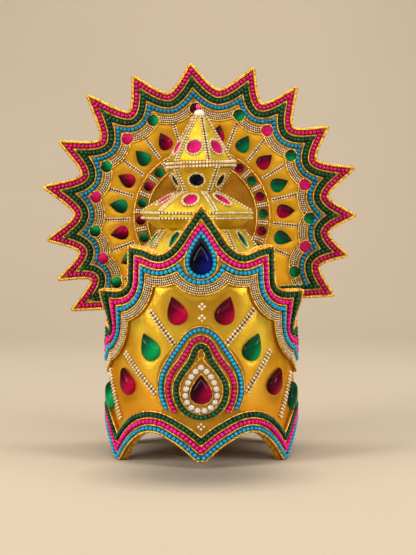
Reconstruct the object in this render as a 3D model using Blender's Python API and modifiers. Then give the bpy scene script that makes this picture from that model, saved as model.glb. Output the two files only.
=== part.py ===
"""Dance crown: a padded gold band with a scalloped front, a cap that carries a spire, and a sunburst disc.

Metres, +Z up. The origin is on the axis of the head, at the level of the feet. The front faces -Y.
A place on the band is given by its arc (length round the band from the front, to the wearer's left at +X)
and its height. A place on the disc is given by u (right) and v (up) from the disc's own centre.
"""

import math

import bmesh
import bpy
import numpy as np
from mathutils import Matrix, Vector

# Clearance between pieces that touch
SEAT_GAP = 0.0003

# Points nearer than this are one point, and faces that meet at less than this angle are shaded as one
MERGE_DISTANCE = 0.000005
SMOOTH_ANGLE_DEG = 35.0

# Band: the padded wall round the head
BAND_RADIUS = 0.0908
BAND_WALL = 0.0068
FRONT_HEIGHT = 0.2475
ARCH_COUNT = 6
ARCH_HEIGHT = 0.1313 * FRONT_HEIGHT
FOOT_WIDTH = 0.0076
FRONT_LIFT = 0.0068
FRONT_LIFT_REACH = 0.030
COLUMN_PITCH = 0.0100
LEAST_COLUMN_PITCH = 0.0004
EDGE_STEPS = 6
FINE_EDGE_STEPS = 24

# The side tips stand away from the round of the band
TIP_FLARE = 0.021
TIP_SWING_DEG = 6.8
TIP_REACH = 0.038

# Beaded borders on the band
BORDER_THICKNESS = 0.0017
BORDER_EDGE_INSET = 0.0004
TOP_BORDER_WIDTH = 0.1285 * FRONT_HEIGHT
BOTTOM_BORDER_WIDTH = 0.0808 * FRONT_HEIGHT

# Top edge of the band, from the front to the middle of the back.
# Columns: azimuth in degrees, height as a share of FRONT_HEIGHT, True at a corner
TOP_EDGE = (
    (0.0, 1.000, True),
    (9.0, 0.915, False),
    (17.5, 0.836, False),
    (25.0, 0.810, False),
    (36.0, 0.829, False),
    (47.6, 0.840, True),
    (48.0, 0.750, False),
    (49.0, 0.690, False),
    (54.0, 0.668, False),
    (66.0, 0.670, True),
    (67.2, 0.580, False),
    (69.0, 0.527, False),
    (73.5, 0.508, False),
    (81.5, 0.545, True),
    (82.2, 0.505, False),
    (86.0, 0.462, False),
    (98.0, 0.445, False),
    (113.0, 0.485, True),
    (130.0, 0.440, False),
    (147.0, 0.485, True),
    (163.5, 0.440, False),
    (180.0, 0.485, True),
)
SIDE_TIP_KNOT = 9
SIDE_VALLEY_KNOT = 12

# Drop-shaped cabochons
DROP_WIDTH = 0.0792 * FRONT_HEIGHT
DROP_LENGTH = 0.1111 * FRONT_HEIGHT
DROP_RISE = 0.0062
DROP_SIDES = 12
TIP_SHARPNESS = 1.1
OUTLINE_SAMPLES = 90

# Rings of a domed stone from its top. Columns: share of the outline, share of the rise
LARGE_STONE_RINGS = ((0.0, 1.0), (0.55, 0.86), (0.92, 0.45))
SMALL_STONE_RINGS = ((0.0, 1.0), (0.68, 0.74))

# The blue drop and its loop in the centre peak
CENTRE_DROP_HEIGHT = 0.788 * FRONT_HEIGHT
CENTRE_LOOP_RADIUS = 0.137 * FRONT_HEIGHT

# Drops on the band.
# Columns: stone, place, azimuth in degrees, height as a share of FRONT_HEIGHT, outward lean in degrees
BAND_DROPS = (
    ("ruby", "upper", 14.8, 0.596, 18.0),
    ("emerald", "middle", 32.4, 0.455, 25.0),
    ("ruby", "lower", 50.9, 0.314, 28.0),
    ("emerald", "side", 75.2, 0.242, 28.0),
)

# Teardrop medallion at the foot of the front
MEDALLION_HALF_WIDTH = 0.1778 * FRONT_HEIGHT
MEDALLION_HEIGHT = 0.3232 * FRONT_HEIGHT
MEDALLION_BASE = 0.2202 * FRONT_HEIGHT
MEDALLION_THICKNESS = 0.0019
MEDALLION_DROP_HEIGHT = 0.3010 * FRONT_HEIGHT
MEDALLION_BOWL_RADIUS = 0.1091 * FRONT_HEIGHT
MEDALLION_BOWL_HEIGHT = 0.2929 * FRONT_HEIGHT
MEDALLION_BOWL_REACH = 0.0808 * FRONT_HEIGHT
MEDALLION_END_PITCH = 0.0020
WHITE_STONE_RADIUS = 0.00235
WHITE_STONE_RISE = 0.0020
WHITE_STONE_COUNT = 17
WHITE_STONE_CLEARANCE = 0.0036
WHITE_STONE_TIP_CLEARANCE = 0.0061
WHITE_RING_SHARPNESS = 0.6

# Outline of the medallion from its top to its lower end.
# Columns: share of MEDALLION_HALF_WIDTH, share of MEDALLION_HEIGHT
MEDALLION_EDGE = (
    (0.00, 1.00),
    (0.24, 0.965),
    (0.42, 0.86),
    (0.66, 0.71),
    (0.86, 0.58),
    (0.98, 0.43),
    (1.00, 0.29),
    (0.96, 0.13),
    (0.88, 0.02),
)

# Domed cap, seated inside the band
CAP_SEAT_HEIGHT = 0.0700
CAP_RISE = 0.1520
CAP_WALL = 0.0028
CAP_LOBES = 8
CAP_TURN_DEG = 12.0
CAP_STEPS_PER_LOBE = 3

# Columns: radius as a share of the seat's radius, height as a share of CAP_RISE, share of the lobes' form
CAP_PROFILE = (
    (1.000, 0.000, 0.0),
    (1.000, 0.330, 0.0),
    (0.975, 0.500, 0.0),
    (0.880, 0.680, 0.5),
    (0.700, 0.855, 1.0),
    (0.515, 0.985, 1.0),
    (0.495, 1.000, 1.0),
    (0.000, 1.000, 0.0),
)

# Spire: three tiers, a pearl ring and a finial. Radii are at the corners
TIER_WALL = 0.0026
RIM_TIER_SIDES = 6
RIM_TIER_TURN_DEG = -10.0
RIM_TIER_RADIUS = 0.0548
RIM_TIER_FOOT_RADIUS = 0.0410
RIM_TIER_NECK_RADIUS = 0.0195
RIM_TIER_HEIGHT = 0.0355
WAIST_SIDES = 5
WAIST_TURN_DEG = -4.0
WAIST_TOP_RADIUS = 0.0352
WAIST_HEIGHT = 0.0235
PEARL_RING_RADIUS = 0.0352
PEARL_RING_WIDTH = 0.0090
PEARL_RING_HEIGHT = 0.0064
PEARL_RING_BULGE = 0.0016
PEARL_RING_COLUMNS = 20
CONE_SIDES = 6
CONE_TURN_DEG = -14.0
CONE_RADIUS = 0.0322
CONE_HEIGHT = 0.0420
CONE_TOP_RADIUS = 0.0058
FINIAL_PEARL_RADIUS = 0.0053
FINIAL_PEARL_HEIGHT = 0.0080
FINIAL_BEAD_RADIUS = 0.0024
BALL_COLUMNS = 10
BALL_ROWS = 6

# Profile of the rim tier from its foot to its neck.
# Columns: place between the neck's radius (0) and the rim's radius (1), height as a share of RIM_TIER_HEIGHT
RIM_TIER_PROFILE = (
    (0.18, 0.935),
    (0.62, 0.70),
    (0.95, 0.50),
)
RIM_LIP = 0.0052
RIM_LIP_SHARE = 0.28

# Stones of the spire, fused with their tier.
# Columns: radius along the tier's face, radius across it, share of the way up it
CONE_STONE = (0.0072, 0.0072, 0.30)
WAIST_STONE = (0.0063, 0.0068, 0.50)
RIM_STONE = (0.0095, 0.0066, 0.28)
CAP_STONE = (0.0092, 0.0042, 0.55)
TIER_STONE_RISE = 0.0022
TIER_STONE_SIDES = 8

# How far the pieces of the handmade spire stand off the axis, to the viewer's right
SPIRE_OFFSETS = {
    "rim_tier": -0.0048,
    "waist_tier": -0.0030,
    "pearl_ring": -0.0010,
    "cone": -0.0016,
    "finial_pearl": -0.0022,
    "finial_bead": -0.0032,
}

# Sunburst disc behind the spire; its setback is to its front face at the hub
DISC_CENTRE_HEIGHT = 0.2318
DISC_CLEARANCE = 0.0112
DISC_SETBACK = BAND_RADIUS + DISC_CLEARANCE
DISC_ROLL_DEG = -3.4
DISC_THICKNESS = 0.0045
DISC_TIP_ANGLES = (0.0, 23.5, 40.4, 58.8, 76.0, 94.1, 109.4, 124.0)
DISC_SCALLOP_POWER = 1.75
DISC_SCALLOP_STEPS = 5
DISC_CHORD_STEPS = 8
DISC_BORDER_THICKNESS = 0.0016

# What lies on the disc keeps its share of the disc's radius
DISC_TIP_RADIUS = 0.1650
DISC_VALLEY_RADIUS = 0.815 * DISC_TIP_RADIUS
DISC_HUB_RADIUS = 0.3485 * DISC_TIP_RADIUS
DISC_DISH_DEPTH = 0.0727 * DISC_TIP_RADIUS
DISC_BORDER_WIDTH = 0.200 * DISC_TIP_RADIUS
DISC_CHORD_BORDER = 0.0909 * DISC_TIP_RADIUS

# Ring of round stones about the hub of the disc
RING_OUTER_RADIUS = 0.4376 * DISC_TIP_RADIUS
RING_THICKNESS = 0.0010
RING_STONE_COUNT = 22
RING_STONE_TURN_DEG = 8.5
RING_STONE_RADIUS = 0.0303 * DISC_TIP_RADIUS
RING_STONE_RISE = 0.0024

# Round stones in the inner cusps of the disc's border, and the drops between ring and border
CUSP_STONE_RADIUS = 0.0352 * DISC_TIP_RADIUS
CUSP_STONE_RISE = 0.0030
CUSP_STONE_PLACE = 0.689 * DISC_TIP_RADIUS
CUSP_STONE_SIDES = 8
DISC_DROP_PLACE = 0.5394 * DISC_TIP_RADIUS
DISC_DROP_LENGTH = 0.1180 * DISC_TIP_RADIUS
DISC_DROP_WIDTH = 0.0910 * DISC_TIP_RADIUS
DISC_DROP_RISE = 0.0046
DISC_DROP_SIDES = 10
DISC_DROP_PITCH_DEG = 18.7
DISC_DROP_TURN_DEG = -4.2
DISC_DROP_HALF_COUNT = 6

# Post that carries the disc on the back of the band
POST_WIDTH = 0.0260
POST_THICKNESS = 0.0040
POST_FOOT_HEIGHT = 0.0480
POST_TOP_OVER_CENTRE = 0.0300

GOLD_CLOTH = ((0.80, 0.50, 0.08), 0.45, 0.6)
BEADWORK = ((0.10, 0.32, 0.25), 0.35, 0.0)
PEARL = ((0.90, 0.85, 0.76), 0.25, 0.0)
STEEL = ((0.55, 0.45, 0.25), 0.40, 0.8)
STONES = {
    "ruby": ((0.50, 0.01, 0.07), 0.10, 0.0),
    "emerald": ((0.00, 0.20, 0.07), 0.10, 0.0),
    "sapphire": ((0.01, 0.02, 0.20), 0.10, 0.0),
    "pink": ((0.85, 0.02, 0.30), 0.20, 0.0),
}


def clear_scene():
    """Removes what a new file holds."""
    for item in list(bpy.data.objects):
        bpy.data.objects.remove(item, do_unlink=True)


def new_collection(name):
    """A collection under the scene's own."""
    group = bpy.data.collections.new(name)
    bpy.context.scene.collection.children.link(group)
    return group


def paint(name, finish):
    """A Principled material from a (colour, roughness, metallic) row."""
    colour, roughness, metallic = finish
    material = bpy.data.materials.new(name)
    material.use_nodes = True
    shader = material.node_tree.nodes["Principled BSDF"]
    shader.inputs["Base Color"].default_value = (*colour, 1.0)
    shader.inputs["Roughness"].default_value = roughness
    shader.inputs["Metallic"].default_value = metallic
    return material


def add_object(name, mesh, group, finish):
    """An object of one mesh, with its own material, shaded smooth across its shallow edges."""
    mesh.materials.append(paint(name, finish))
    mesh.shade_smooth()
    mesh.set_sharp_from_angle(angle=math.radians(SMOOTH_ANGLE_DEG))
    item = bpy.data.objects.new(name, mesh)
    group.objects.link(item)
    return item


def grid_mesh(name, places):
    """A mesh from a table of points, places[i][j]; i runs clockwise seen from outside, j outward or up.

    Each cell is cut along its short diagonal, so that two sheets with like tables lie parallel. Points that
    fall together are merged, which closes a ring's seam and a pole.
    """
    columns, rows = len(places) - 1, len(places[0]) - 1
    form = bmesh.new()
    bmesh.ops.create_grid(form, x_segments=columns, y_segments=rows, size=0.5)
    for vertex in form.verts:
        i = round((vertex.co.x + 0.5) * columns)
        j = round((vertex.co.y + 0.5) * rows)
        vertex.co = places[i][j]
    bmesh.ops.triangulate(form, faces=form.faces, quad_method="SHORT_EDGE")
    bmesh.ops.remove_doubles(form, verts=form.verts, dist=MERGE_DISTANCE)
    loose = [edge for edge in form.edges if not edge.link_faces]
    bmesh.ops.delete(form, geom=loose, context="EDGES")
    mesh = bpy.data.meshes.new(name)
    form.to_mesh(mesh)
    form.free()
    return mesh


def thicken(item, thickness, outward=False):
    """Gives an open surface its wall, inward unless outward is set."""
    wall = item.modifiers.new("wall", "SOLIDIFY")
    wall.thickness = thickness
    wall.offset = 1.0 if outward else -1.0


def smooth_run(points, steps):
    """Points on a smooth curve through a run of (x, y) points, with the ends as they are."""
    points = np.array(points, float)
    spans = np.linalg.norm(np.diff(points, axis=0), axis=1)
    slopes = np.zeros_like(points)
    slopes[0] = (points[1] - points[0]) / spans[0]
    slopes[-1] = (points[-1] - points[-2]) / spans[-1]
    for k in range(1, len(points) - 1):
        slopes[k] = (points[k + 1] - points[k - 1]) / (spans[k] + spans[k - 1])
    run = [points[0]]
    for k, span in enumerate(spans):
        for step in range(1, steps + 1):
            t = step / steps
            t2, t3 = t * t, t * t * t
            run.append(
                (2 * t3 - 3 * t2 + 1) * points[k]
                + (t3 - 2 * t2 + t) * span * slopes[k]
                + (3 * t2 - 2 * t3) * points[k + 1]
                + (t3 - t2) * span * slopes[k + 1]
            )
    return run


def top_edge_points(steps):
    """The band's top edge from the front to the back, as (arc, height) points."""
    knots = [(BAND_RADIUS * math.radians(a), share * FRONT_HEIGHT) for a, share, _ in TOP_EDGE]
    corners = [k for k, row in enumerate(TOP_EDGE) if row[2]]
    points = [np.array(knots[0])]
    for first, last in zip(corners, corners[1:]):
        points.extend(smooth_run(knots[first : last + 1], steps)[1:])
    return np.array(points)


TOP_EDGE_LINE = top_edge_points(EDGE_STEPS)
FINE_TOP_EDGE = top_edge_points(FINE_EDGE_STEPS)


def top_height(arc):
    """Height of the band's top edge at an arc on either side."""
    return float(np.interp(abs(arc), TOP_EDGE_LINE[:, 0], TOP_EDGE_LINE[:, 1]))


def foot_height(arc):
    """Height of the band's lower edge: arches between flat feet, lifted at the front."""
    angle = abs(arc) / BAND_RADIUS
    flat = math.sin(0.5 * ARCH_COUNT * 0.5 * FOOT_WIDTH / BAND_RADIUS)
    arch = max(0.0, abs(math.sin(0.5 * ARCH_COUNT * angle)) - flat) / (1.0 - flat)
    lift = FRONT_LIFT * max(0.0, 1.0 - abs(arc) / FRONT_LIFT_REACH)
    return ARCH_HEIGHT * arch + lift


def below_top(arc, distance):
    """Height of the line that keeps a distance from the top edge, at an arc."""
    arcs, heights = FINE_TOP_EDGE[:, 0], FINE_TOP_EDGE[:, 1]
    across = np.concatenate([arcs, -arcs, 2 * math.pi * BAND_RADIUS - arcs]) - abs(arc)
    near = np.abs(across) < distance
    return float(np.min(np.tile(heights, 3)[near] - np.sqrt(distance**2 - across[near] ** 2)))


def above_foot(arc, distance):
    """Height of the line that keeps a distance from the lower edge, at an arc."""
    offsets = np.linspace(-distance, distance, 41)
    return max(foot_height(arc + s) + math.sqrt(max(0.0, distance**2 - s * s)) for s in offsets)


def top_border_line(arc):
    """Inner line of the top border, with the round dip under the centre drop."""
    line = below_top(arc, TOP_BORDER_WIDTH)
    if abs(arc) < CENTRE_LOOP_RADIUS:
        line = min(line, CENTRE_DROP_HEIGHT - math.sqrt(CENTRE_LOOP_RADIUS**2 - arc**2))
    return line


def wrap(arc, height, out=0.0):
    """A point on the band's outer face, or out from it; the side tips flare away from the round."""
    tip_azimuth, tip_share, _ = TOP_EDGE[SIDE_TIP_KNOT]
    tip_height = tip_share * FRONT_HEIGHT
    valley_height = TOP_EDGE[SIDE_VALLEY_KNOT][1] * FRONT_HEIGHT
    beside = max(0.0, 1.0 - abs(abs(arc) - BAND_RADIUS * math.radians(tip_azimuth)) / TIP_REACH) ** 2
    above = min(1.0, max(0.0, (height - valley_height) / (tip_height - valley_height)))
    angle = abs(arc) / BAND_RADIUS - math.radians(TIP_SWING_DEG) * beside * above
    radius = BAND_RADIUS + TIP_FLARE * beside * above + out
    return Vector((math.copysign(radius * math.sin(angle), arc), -radius * math.cos(angle), height))


def band_columns():
    """Arcs of the band's columns all the way round: at each knot of the top edge and evenly between."""
    half = [0.0]
    for first, last in zip(TOP_EDGE, TOP_EDGE[1:]):
        start, end = (BAND_RADIUS * math.radians(row[0]) for row in (first, last))
        count = max(1, math.ceil((end - start) / COLUMN_PITCH))
        half.extend(start + (end - start) * (k + 1) / count for k in range(count))
    for foot in range(1, ARCH_COUNT // 2 + 1):
        middle = BAND_RADIUS * 2.0 * math.pi * foot / ARCH_COUNT
        half.extend(middle + side * FOOT_WIDTH / 2 for side in (-1, 1))
    end = BAND_RADIUS * math.pi
    half = sorted(arc for arc in half if arc <= end)
    kept = [half[0]]
    for arc in half[1:]:
        if arc - kept[-1] > LEAST_COLUMN_PITCH:
            kept.append(arc)
    kept[-1] = end
    return [-arc for arc in reversed(kept[1:])] + kept


def loft_on_band(name, sections, inner, outer, group, finish):
    """A closed ring on the band, lofted through sections of (arc, heights from the lowest up).

    Both faces have a row of points at each height, inner and outer metres out from the band's outer face.
    """
    places = []
    for arc, heights in sections:
        column = [wrap(arc, height, outer) for height in heights]
        column += [wrap(arc, height, inner) for height in reversed(heights)]
        places.append([*column, column[0]])
    return add_object(name, grid_mesh(name, places), group, finish)


def make_band(group):
    """The padded wall and the two borders on it; their rows of points match, so their faces lie parallel."""
    wall, low_border, top_border = [], [], []
    for arc in band_columns():
        foot, top = foot_height(arc), top_height(arc)
        low = above_foot(arc, BOTTOM_BORDER_WIDTH)
        line = top_border_line(arc)
        middle = (line + top) / 2
        wall.append((arc, (foot, low, line, middle, top)))
        low_border.append((arc, (foot + BORDER_EDGE_INSET, low)))
        top_border.append((arc, (line, middle, top - BORDER_EDGE_INSET)))
    face = SEAT_GAP + BORDER_THICKNESS
    loft_on_band("band", wall, -BAND_WALL, 0.0, group, GOLD_CLOTH)
    loft_on_band("bottom_border", low_border, SEAT_GAP, face, group, BEADWORK)
    loft_on_band("top_border", top_border, SEAT_GAP, face, group, BEADWORK)


def drop_outline(width, length, sides, sharpness=TIP_SHARPNESS):
    """Outline of a drop, clockwise from its tip at the top, centred on its own box."""
    angles = [2 * math.pi * k / sides for k in range(sides)]
    across = [math.sin(a) * math.sin(a / 2) ** sharpness for a in angles]
    half_turn = np.linspace(0, math.pi, OUTLINE_SAMPLES)
    widest = max(abs(math.sin(a) * math.sin(a / 2) ** sharpness) for a in half_turn)
    return [(width / 2 * x / widest, length / 2 * math.cos(a)) for x, a in zip(across, angles)]


def oval_outline(half_width, half_length, sides):
    """Outline of a circle or an oval, clockwise from the top."""
    angles = [2 * math.pi * k / sides for k in range(sides)]
    return [(half_width * math.sin(a), half_length * math.cos(a)) for a in angles]


def turned_outline(outline, degrees):
    """An outline turned clockwise."""
    c, s = math.cos(math.radians(degrees)), math.sin(math.radians(degrees))
    return [(x * c + y * s, y * c - x * s) for x, y in outline]


def cabochon_points(outline, rise, spot, rings, sunk=0.0):
    """Rows of points of a domed stone on a spot, which turns (right, up, out) into a place."""
    base = -sunk / rise
    places = []
    for x, y in [*outline, outline[0]]:
        column = [spot(x * share, y * share, rise * lift) for share, lift in rings]
        places.append(column + [spot(x, y, rise * base), spot(0.0, 0.0, rise * base)])
    return places


def band_spot(azimuth_deg, height, seat):
    """A spot on the band, seat metres off its outer face."""
    arc = BAND_RADIUS * math.radians(azimuth_deg)
    return lambda right, up, out: wrap(arc + right, height + up, seat + out)


def make_band_drops(group):
    """The drops on the band, in mirrored pairs, and the blue drop on the top border."""
    outline = drop_outline(DROP_WIDTH, DROP_LENGTH, DROP_SIDES)
    for stone, place, azimuth, share, lean in BAND_DROPS:
        for side, sign in (("left", -1), ("right", 1)):
            name = f"{stone}_drop_{place}_{side}"
            spot = band_spot(sign * azimuth, share * FRONT_HEIGHT, SEAT_GAP)
            leaning = turned_outline(outline, sign * lean)
            points = cabochon_points(leaning, DROP_RISE, spot, LARGE_STONE_RINGS)
            add_object(name, grid_mesh(name, points), group, STONES[stone])

    seat = 2 * SEAT_GAP + BORDER_THICKNESS
    spot = band_spot(0.0, CENTRE_DROP_HEIGHT, seat)
    points = cabochon_points(outline, DROP_RISE, spot, LARGE_STONE_RINGS)
    add_object("sapphire_drop", grid_mesh("sapphire_drop", points), group, STONES["sapphire"])


def medallion_sections():
    """The medallion's sections as (arc, heights), on the band's own columns between its two side points."""
    edge = np.array(MEDALLION_EDGE) * (MEDALLION_HALF_WIDTH, MEDALLION_HEIGHT) + (0.0, MEDALLION_BASE)
    widest = int(np.argmax(edge[:, 0]))
    upper, lower = edge[: widest + 1], edge[widest:][::-1]
    arcs = [arc for arc in band_columns() if abs(arc) < MEDALLION_HALF_WIDTH - MEDALLION_END_PITCH]
    sections = [(-MEDALLION_HALF_WIDTH, (edge[widest, 1],) * 3)]
    for arc in arcs:
        top = float(np.interp(abs(arc), upper[:, 0], upper[:, 1]))
        floor = above_foot(arc, BOTTOM_BORDER_WIDTH + SEAT_GAP)
        if abs(arc) > lower[0, 0]:
            floor = max(floor, float(np.interp(abs(arc), lower[:, 0], lower[:, 1])))
        elif abs(arc) < MEDALLION_BOWL_REACH:
            floor = max(floor, MEDALLION_BOWL_HEIGHT - math.sqrt(MEDALLION_BOWL_RADIUS**2 - arc**2))
        sections.append((arc, (floor, (floor + top) / 2, top)))
    sections.append((MEDALLION_HALF_WIDTH, (edge[widest, 1],) * 3))
    return sections


def white_stone_places():
    """Middles of the white stones, evenly spaced about the medallion's drop, from its tip."""
    width = DROP_WIDTH + 2 * WHITE_STONE_CLEARANCE
    length = DROP_LENGTH + 2 * WHITE_STONE_TIP_CLEARANCE
    ring = drop_outline(width, length, OUTLINE_SAMPLES, WHITE_RING_SHARPNESS)
    ring = np.array([*ring, ring[0]])
    lengths = np.concatenate([[0.0], np.cumsum(np.linalg.norm(np.diff(ring, axis=0), axis=1))])
    wanted = np.arange(WHITE_STONE_COUNT) * lengths[-1] / WHITE_STONE_COUNT
    rights, heights = (np.interp(wanted, lengths, ring[:, k]) for k in (0, 1))
    return [(float(right), float(height)) for right, height in zip(rights, heights)]


def make_medallion(group, tools):
    """The raised teardrop with its ring of white stones, and the red drop on it."""
    face = SEAT_GAP + MEDALLION_THICKNESS
    pad = loft_on_band("medallion", medallion_sections(), SEAT_GAP, face, group, BEADWORK)
    circle = oval_outline(WHITE_STONE_RADIUS, WHITE_STONE_RADIUS, 6)
    rings, sunk = SMALL_STONE_RINGS, MEDALLION_THICKNESS / 2
    stones = []
    for arc, over in white_stone_places():
        spot = band_spot(math.degrees(arc / BAND_RADIUS), MEDALLION_DROP_HEIGHT + over, face)
        stones.append(cabochon_points(circle, WHITE_STONE_RISE, spot, rings, sunk))
    fuse(pad, stones, tools)

    spot = band_spot(0.0, MEDALLION_DROP_HEIGHT, face + SEAT_GAP)
    drop = drop_outline(DROP_WIDTH, DROP_LENGTH, DROP_SIDES)
    points = cabochon_points(drop, DROP_RISE, spot, LARGE_STONE_RINGS)
    add_object("ruby_drop_medallion", grid_mesh("ruby_drop_medallion", points), group, STONES["ruby"])


def fuse(item, pieces, tools):
    """Joins small closed pieces, given as tables of points, to an object by a Boolean union."""
    form = bmesh.new()
    for places in pieces:
        mesh = grid_mesh("stone", places)
        form.from_mesh(mesh)
        bpy.data.meshes.remove(mesh)
    mesh = bpy.data.meshes.new(item.name + "_stones")
    form.to_mesh(mesh)
    form.free()
    stones = bpy.data.objects.new(item.name + "_stones", mesh)
    tools.objects.link(stones)
    stones.hide_render = True
    stones.display_type = "WIRE"
    union = item.modifiers.new("stones", "BOOLEAN")
    union.operation = "UNION"
    union.solver = "EXACT"
    union.object = stones


def corner_share(angle, sides):
    """Radius of a regular polygon at an angle from a corner, as a share of its corner's radius."""
    step = 2 * math.pi / sides
    local = (angle % step) - step / 2
    return math.cos(step / 2) / math.cos(local)


def inner_profile(profile, wall):
    """The inside of a turned wall, from a profile of (radius, height) rows that runs upward.

    An open end is cut level with the outside's end, and a closed one keeps the wall under its middle.
    """
    rows = [np.array(row) for row in profile]
    normals = []
    for low, high in zip(rows, rows[1:]):
        along = (high - low) / np.linalg.norm(high - low)
        normals.append(np.array((along[1], -along[0])))
    inside = []
    for k, row in enumerate(rows):
        if 0 < k < len(rows) - 1:
            first, second = normals[k - 1], normals[k]
            inside.append(row - wall * (first + second) / (1.0 + first @ second))
        elif row[0] == 0.0:
            inside.append(row - np.array((0.0, wall)))
        else:
            normal = normals[0] if k == 0 else normals[-1]
            inside.append(row - np.array((wall / normal[0], 0.0)))
    return inside


def turned_shell(name, profile, sides, turn_deg, per_side, group, finish, wall=TIER_WALL):
    """A hollow tier with flat sides. Profile rows run upward: radius, height, share of the polygon's form."""
    inside = inner_profile([row[:2] for row in profile], wall)
    rows = list(profile) + [(r, h, row[2]) for (r, h), row in zip(reversed(inside), reversed(profile))]
    count = sides * per_side
    offset = SPIRE_OFFSETS.get(name, 0.0)
    places = []
    for k in range(count + 1):
        angle = 2 * math.pi * (k % count) / count
        azimuth = angle + math.radians(turn_deg) - math.pi / sides
        column = []
        for radius, height, form in [*rows, rows[0]]:
            r = radius * (1.0 - form * (1.0 - corner_share(angle, sides)))
            column.append(Vector((offset + r * math.sin(azimuth), -r * math.cos(azimuth), height)))
        places.append(column)
    return add_object(name, grid_mesh(name, places), group, finish)


def face_stones(name, low, high, sides, turn_deg, stone):
    """Tables of points of a stone on each flat face of a tier, between two (corner radius, height) rows."""
    along, across, lift = stone
    foot = Vector((SPIRE_OFFSETS.get(name, 0.0), 0.0, 0.0))
    outline = oval_outline(across, along, TIER_STONE_SIDES)
    rings, sunk = SMALL_STONE_RINGS, TIER_WALL / 3
    flat = math.cos(math.pi / sides)
    stones = []
    for k in range(sides):
        azimuth = math.radians(turn_deg) + 2 * math.pi * k / sides
        outward = Vector((math.sin(azimuth), -math.cos(azimuth), 0.0))
        right = Vector((math.cos(azimuth), math.sin(azimuth), 0.0))
        bottom = foot + outward * low[0] * flat + Vector((0.0, 0.0, low[1]))
        top = foot + outward * high[0] * flat + Vector((0.0, 0.0, high[1]))
        up = (top - bottom).normalized()
        normal = right.cross(up)
        middle = bottom.lerp(top, lift)

        def spot(a, b, c):
            return middle + right * a + up * b + normal * c

        stones.append(cabochon_points(outline, TIER_STONE_RISE, spot, rings, sunk))
    return stones


def make_cap(group, tools):
    """The domed cap inside the band, with a long green stone on each lobe."""
    seat_radius = BAND_RADIUS - BAND_WALL - 2 * SEAT_GAP
    rows = [(r * seat_radius, CAP_SEAT_HEIGHT + h * CAP_RISE, form) for r, h, form in CAP_PROFILE]
    cap = turned_shell("cap", rows, CAP_LOBES, CAP_TURN_DEG, CAP_STEPS_PER_LOBE, group, GOLD_CLOTH, CAP_WALL)
    fuse(cap, face_stones("cap", rows[4], rows[5], CAP_LOBES, CAP_TURN_DEG, CAP_STONE), tools)
    return rows[-1][1]


def make_rim_tier(base, group, tools):
    """The wide tier: a bowl below, a pearl lip, and a flared skirt up to the neck."""
    rim, neck, foot = RIM_TIER_RADIUS, RIM_TIER_NECK_RADIUS, RIM_TIER_FOOT_RADIUS
    lip_low = base + RIM_LIP_SHARE * RIM_TIER_HEIGHT
    rows = [(foot, base, 1.0), (rim, lip_low, 1.0), (rim, lip_low + RIM_LIP, 1.0)]
    for share, height in reversed(RIM_TIER_PROFILE):
        rows.append((neck + share * (rim - neck), base + height * RIM_TIER_HEIGHT, 1.0))
    rows.append((neck, base + RIM_TIER_HEIGHT, 1.0))
    tier = turned_shell("rim_tier", rows, RIM_TIER_SIDES, RIM_TIER_TURN_DEG, 1, group, GOLD_CLOTH)
    low, high = rows[4], rows[5]
    fuse(tier, face_stones("rim_tier", low, high, RIM_TIER_SIDES, RIM_TIER_TURN_DEG, RIM_STONE), tools)
    return base + RIM_TIER_HEIGHT


def make_waist_tier(base, group, tools):
    """The upturned tier above the neck."""
    rows = [(RIM_TIER_NECK_RADIUS, base, 1.0), (WAIST_TOP_RADIUS, base + WAIST_HEIGHT, 1.0)]
    tier = turned_shell("waist_tier", rows, WAIST_SIDES, WAIST_TURN_DEG, 1, group, GOLD_CLOTH)
    fuse(tier, face_stones("waist_tier", *rows, WAIST_SIDES, WAIST_TURN_DEG, WAIST_STONE), tools)
    return base + WAIST_HEIGHT


def make_pearl_ring(base, group):
    """The thick ring of two rows of pearls between the waist tier and the cone."""
    outer, inner = PEARL_RING_RADIUS, PEARL_RING_RADIUS - PEARL_RING_WIDTH
    top = base + PEARL_RING_HEIGHT
    bulge = PEARL_RING_BULGE
    section = (
        (inner, base),
        (outer - bulge, base),
        (outer, base + bulge),
        (outer, top - bulge),
        (outer - bulge, top),
        (inner, top),
        (inner, base),
    )
    count, offset = PEARL_RING_COLUMNS, SPIRE_OFFSETS["pearl_ring"]
    places = []
    for k in range(count + 1):
        a = 2 * math.pi * (k % count) / count
        places.append([Vector((offset + r * math.sin(a), -r * math.cos(a), z)) for r, z in section])
    add_object("pearl_ring", grid_mesh("pearl_ring", places), group, PEARL)
    return top


def make_cone(base, group, tools):
    """The six-sided top of the spire."""
    top = base + CONE_HEIGHT
    rows = [(CONE_RADIUS, base, 1.0), (CONE_TOP_RADIUS, top, 1.0), (0.0, top, 1.0)]
    cone = turned_shell("cone", rows, CONE_SIDES, CONE_TURN_DEG, 1, group, GOLD_CLOTH)
    fuse(cone, face_stones("cone", rows[0], rows[1], CONE_SIDES, CONE_TURN_DEG, CONE_STONE), tools)
    return top


def make_ball(name, radius, half_height, middle, group, finish):
    """A round or oval bead at the top of the spire."""
    form = bmesh.new()
    bmesh.ops.create_uvsphere(form, u_segments=BALL_COLUMNS, v_segments=BALL_ROWS, radius=radius)
    bmesh.ops.scale(form, vec=(1.0, 1.0, half_height / radius), verts=form.verts)
    bmesh.ops.translate(form, vec=(SPIRE_OFFSETS[name], 0.0, middle), verts=form.verts)
    mesh = bpy.data.meshes.new(name)
    form.to_mesh(mesh)
    form.free()
    add_object(name, mesh, group, finish)


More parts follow.
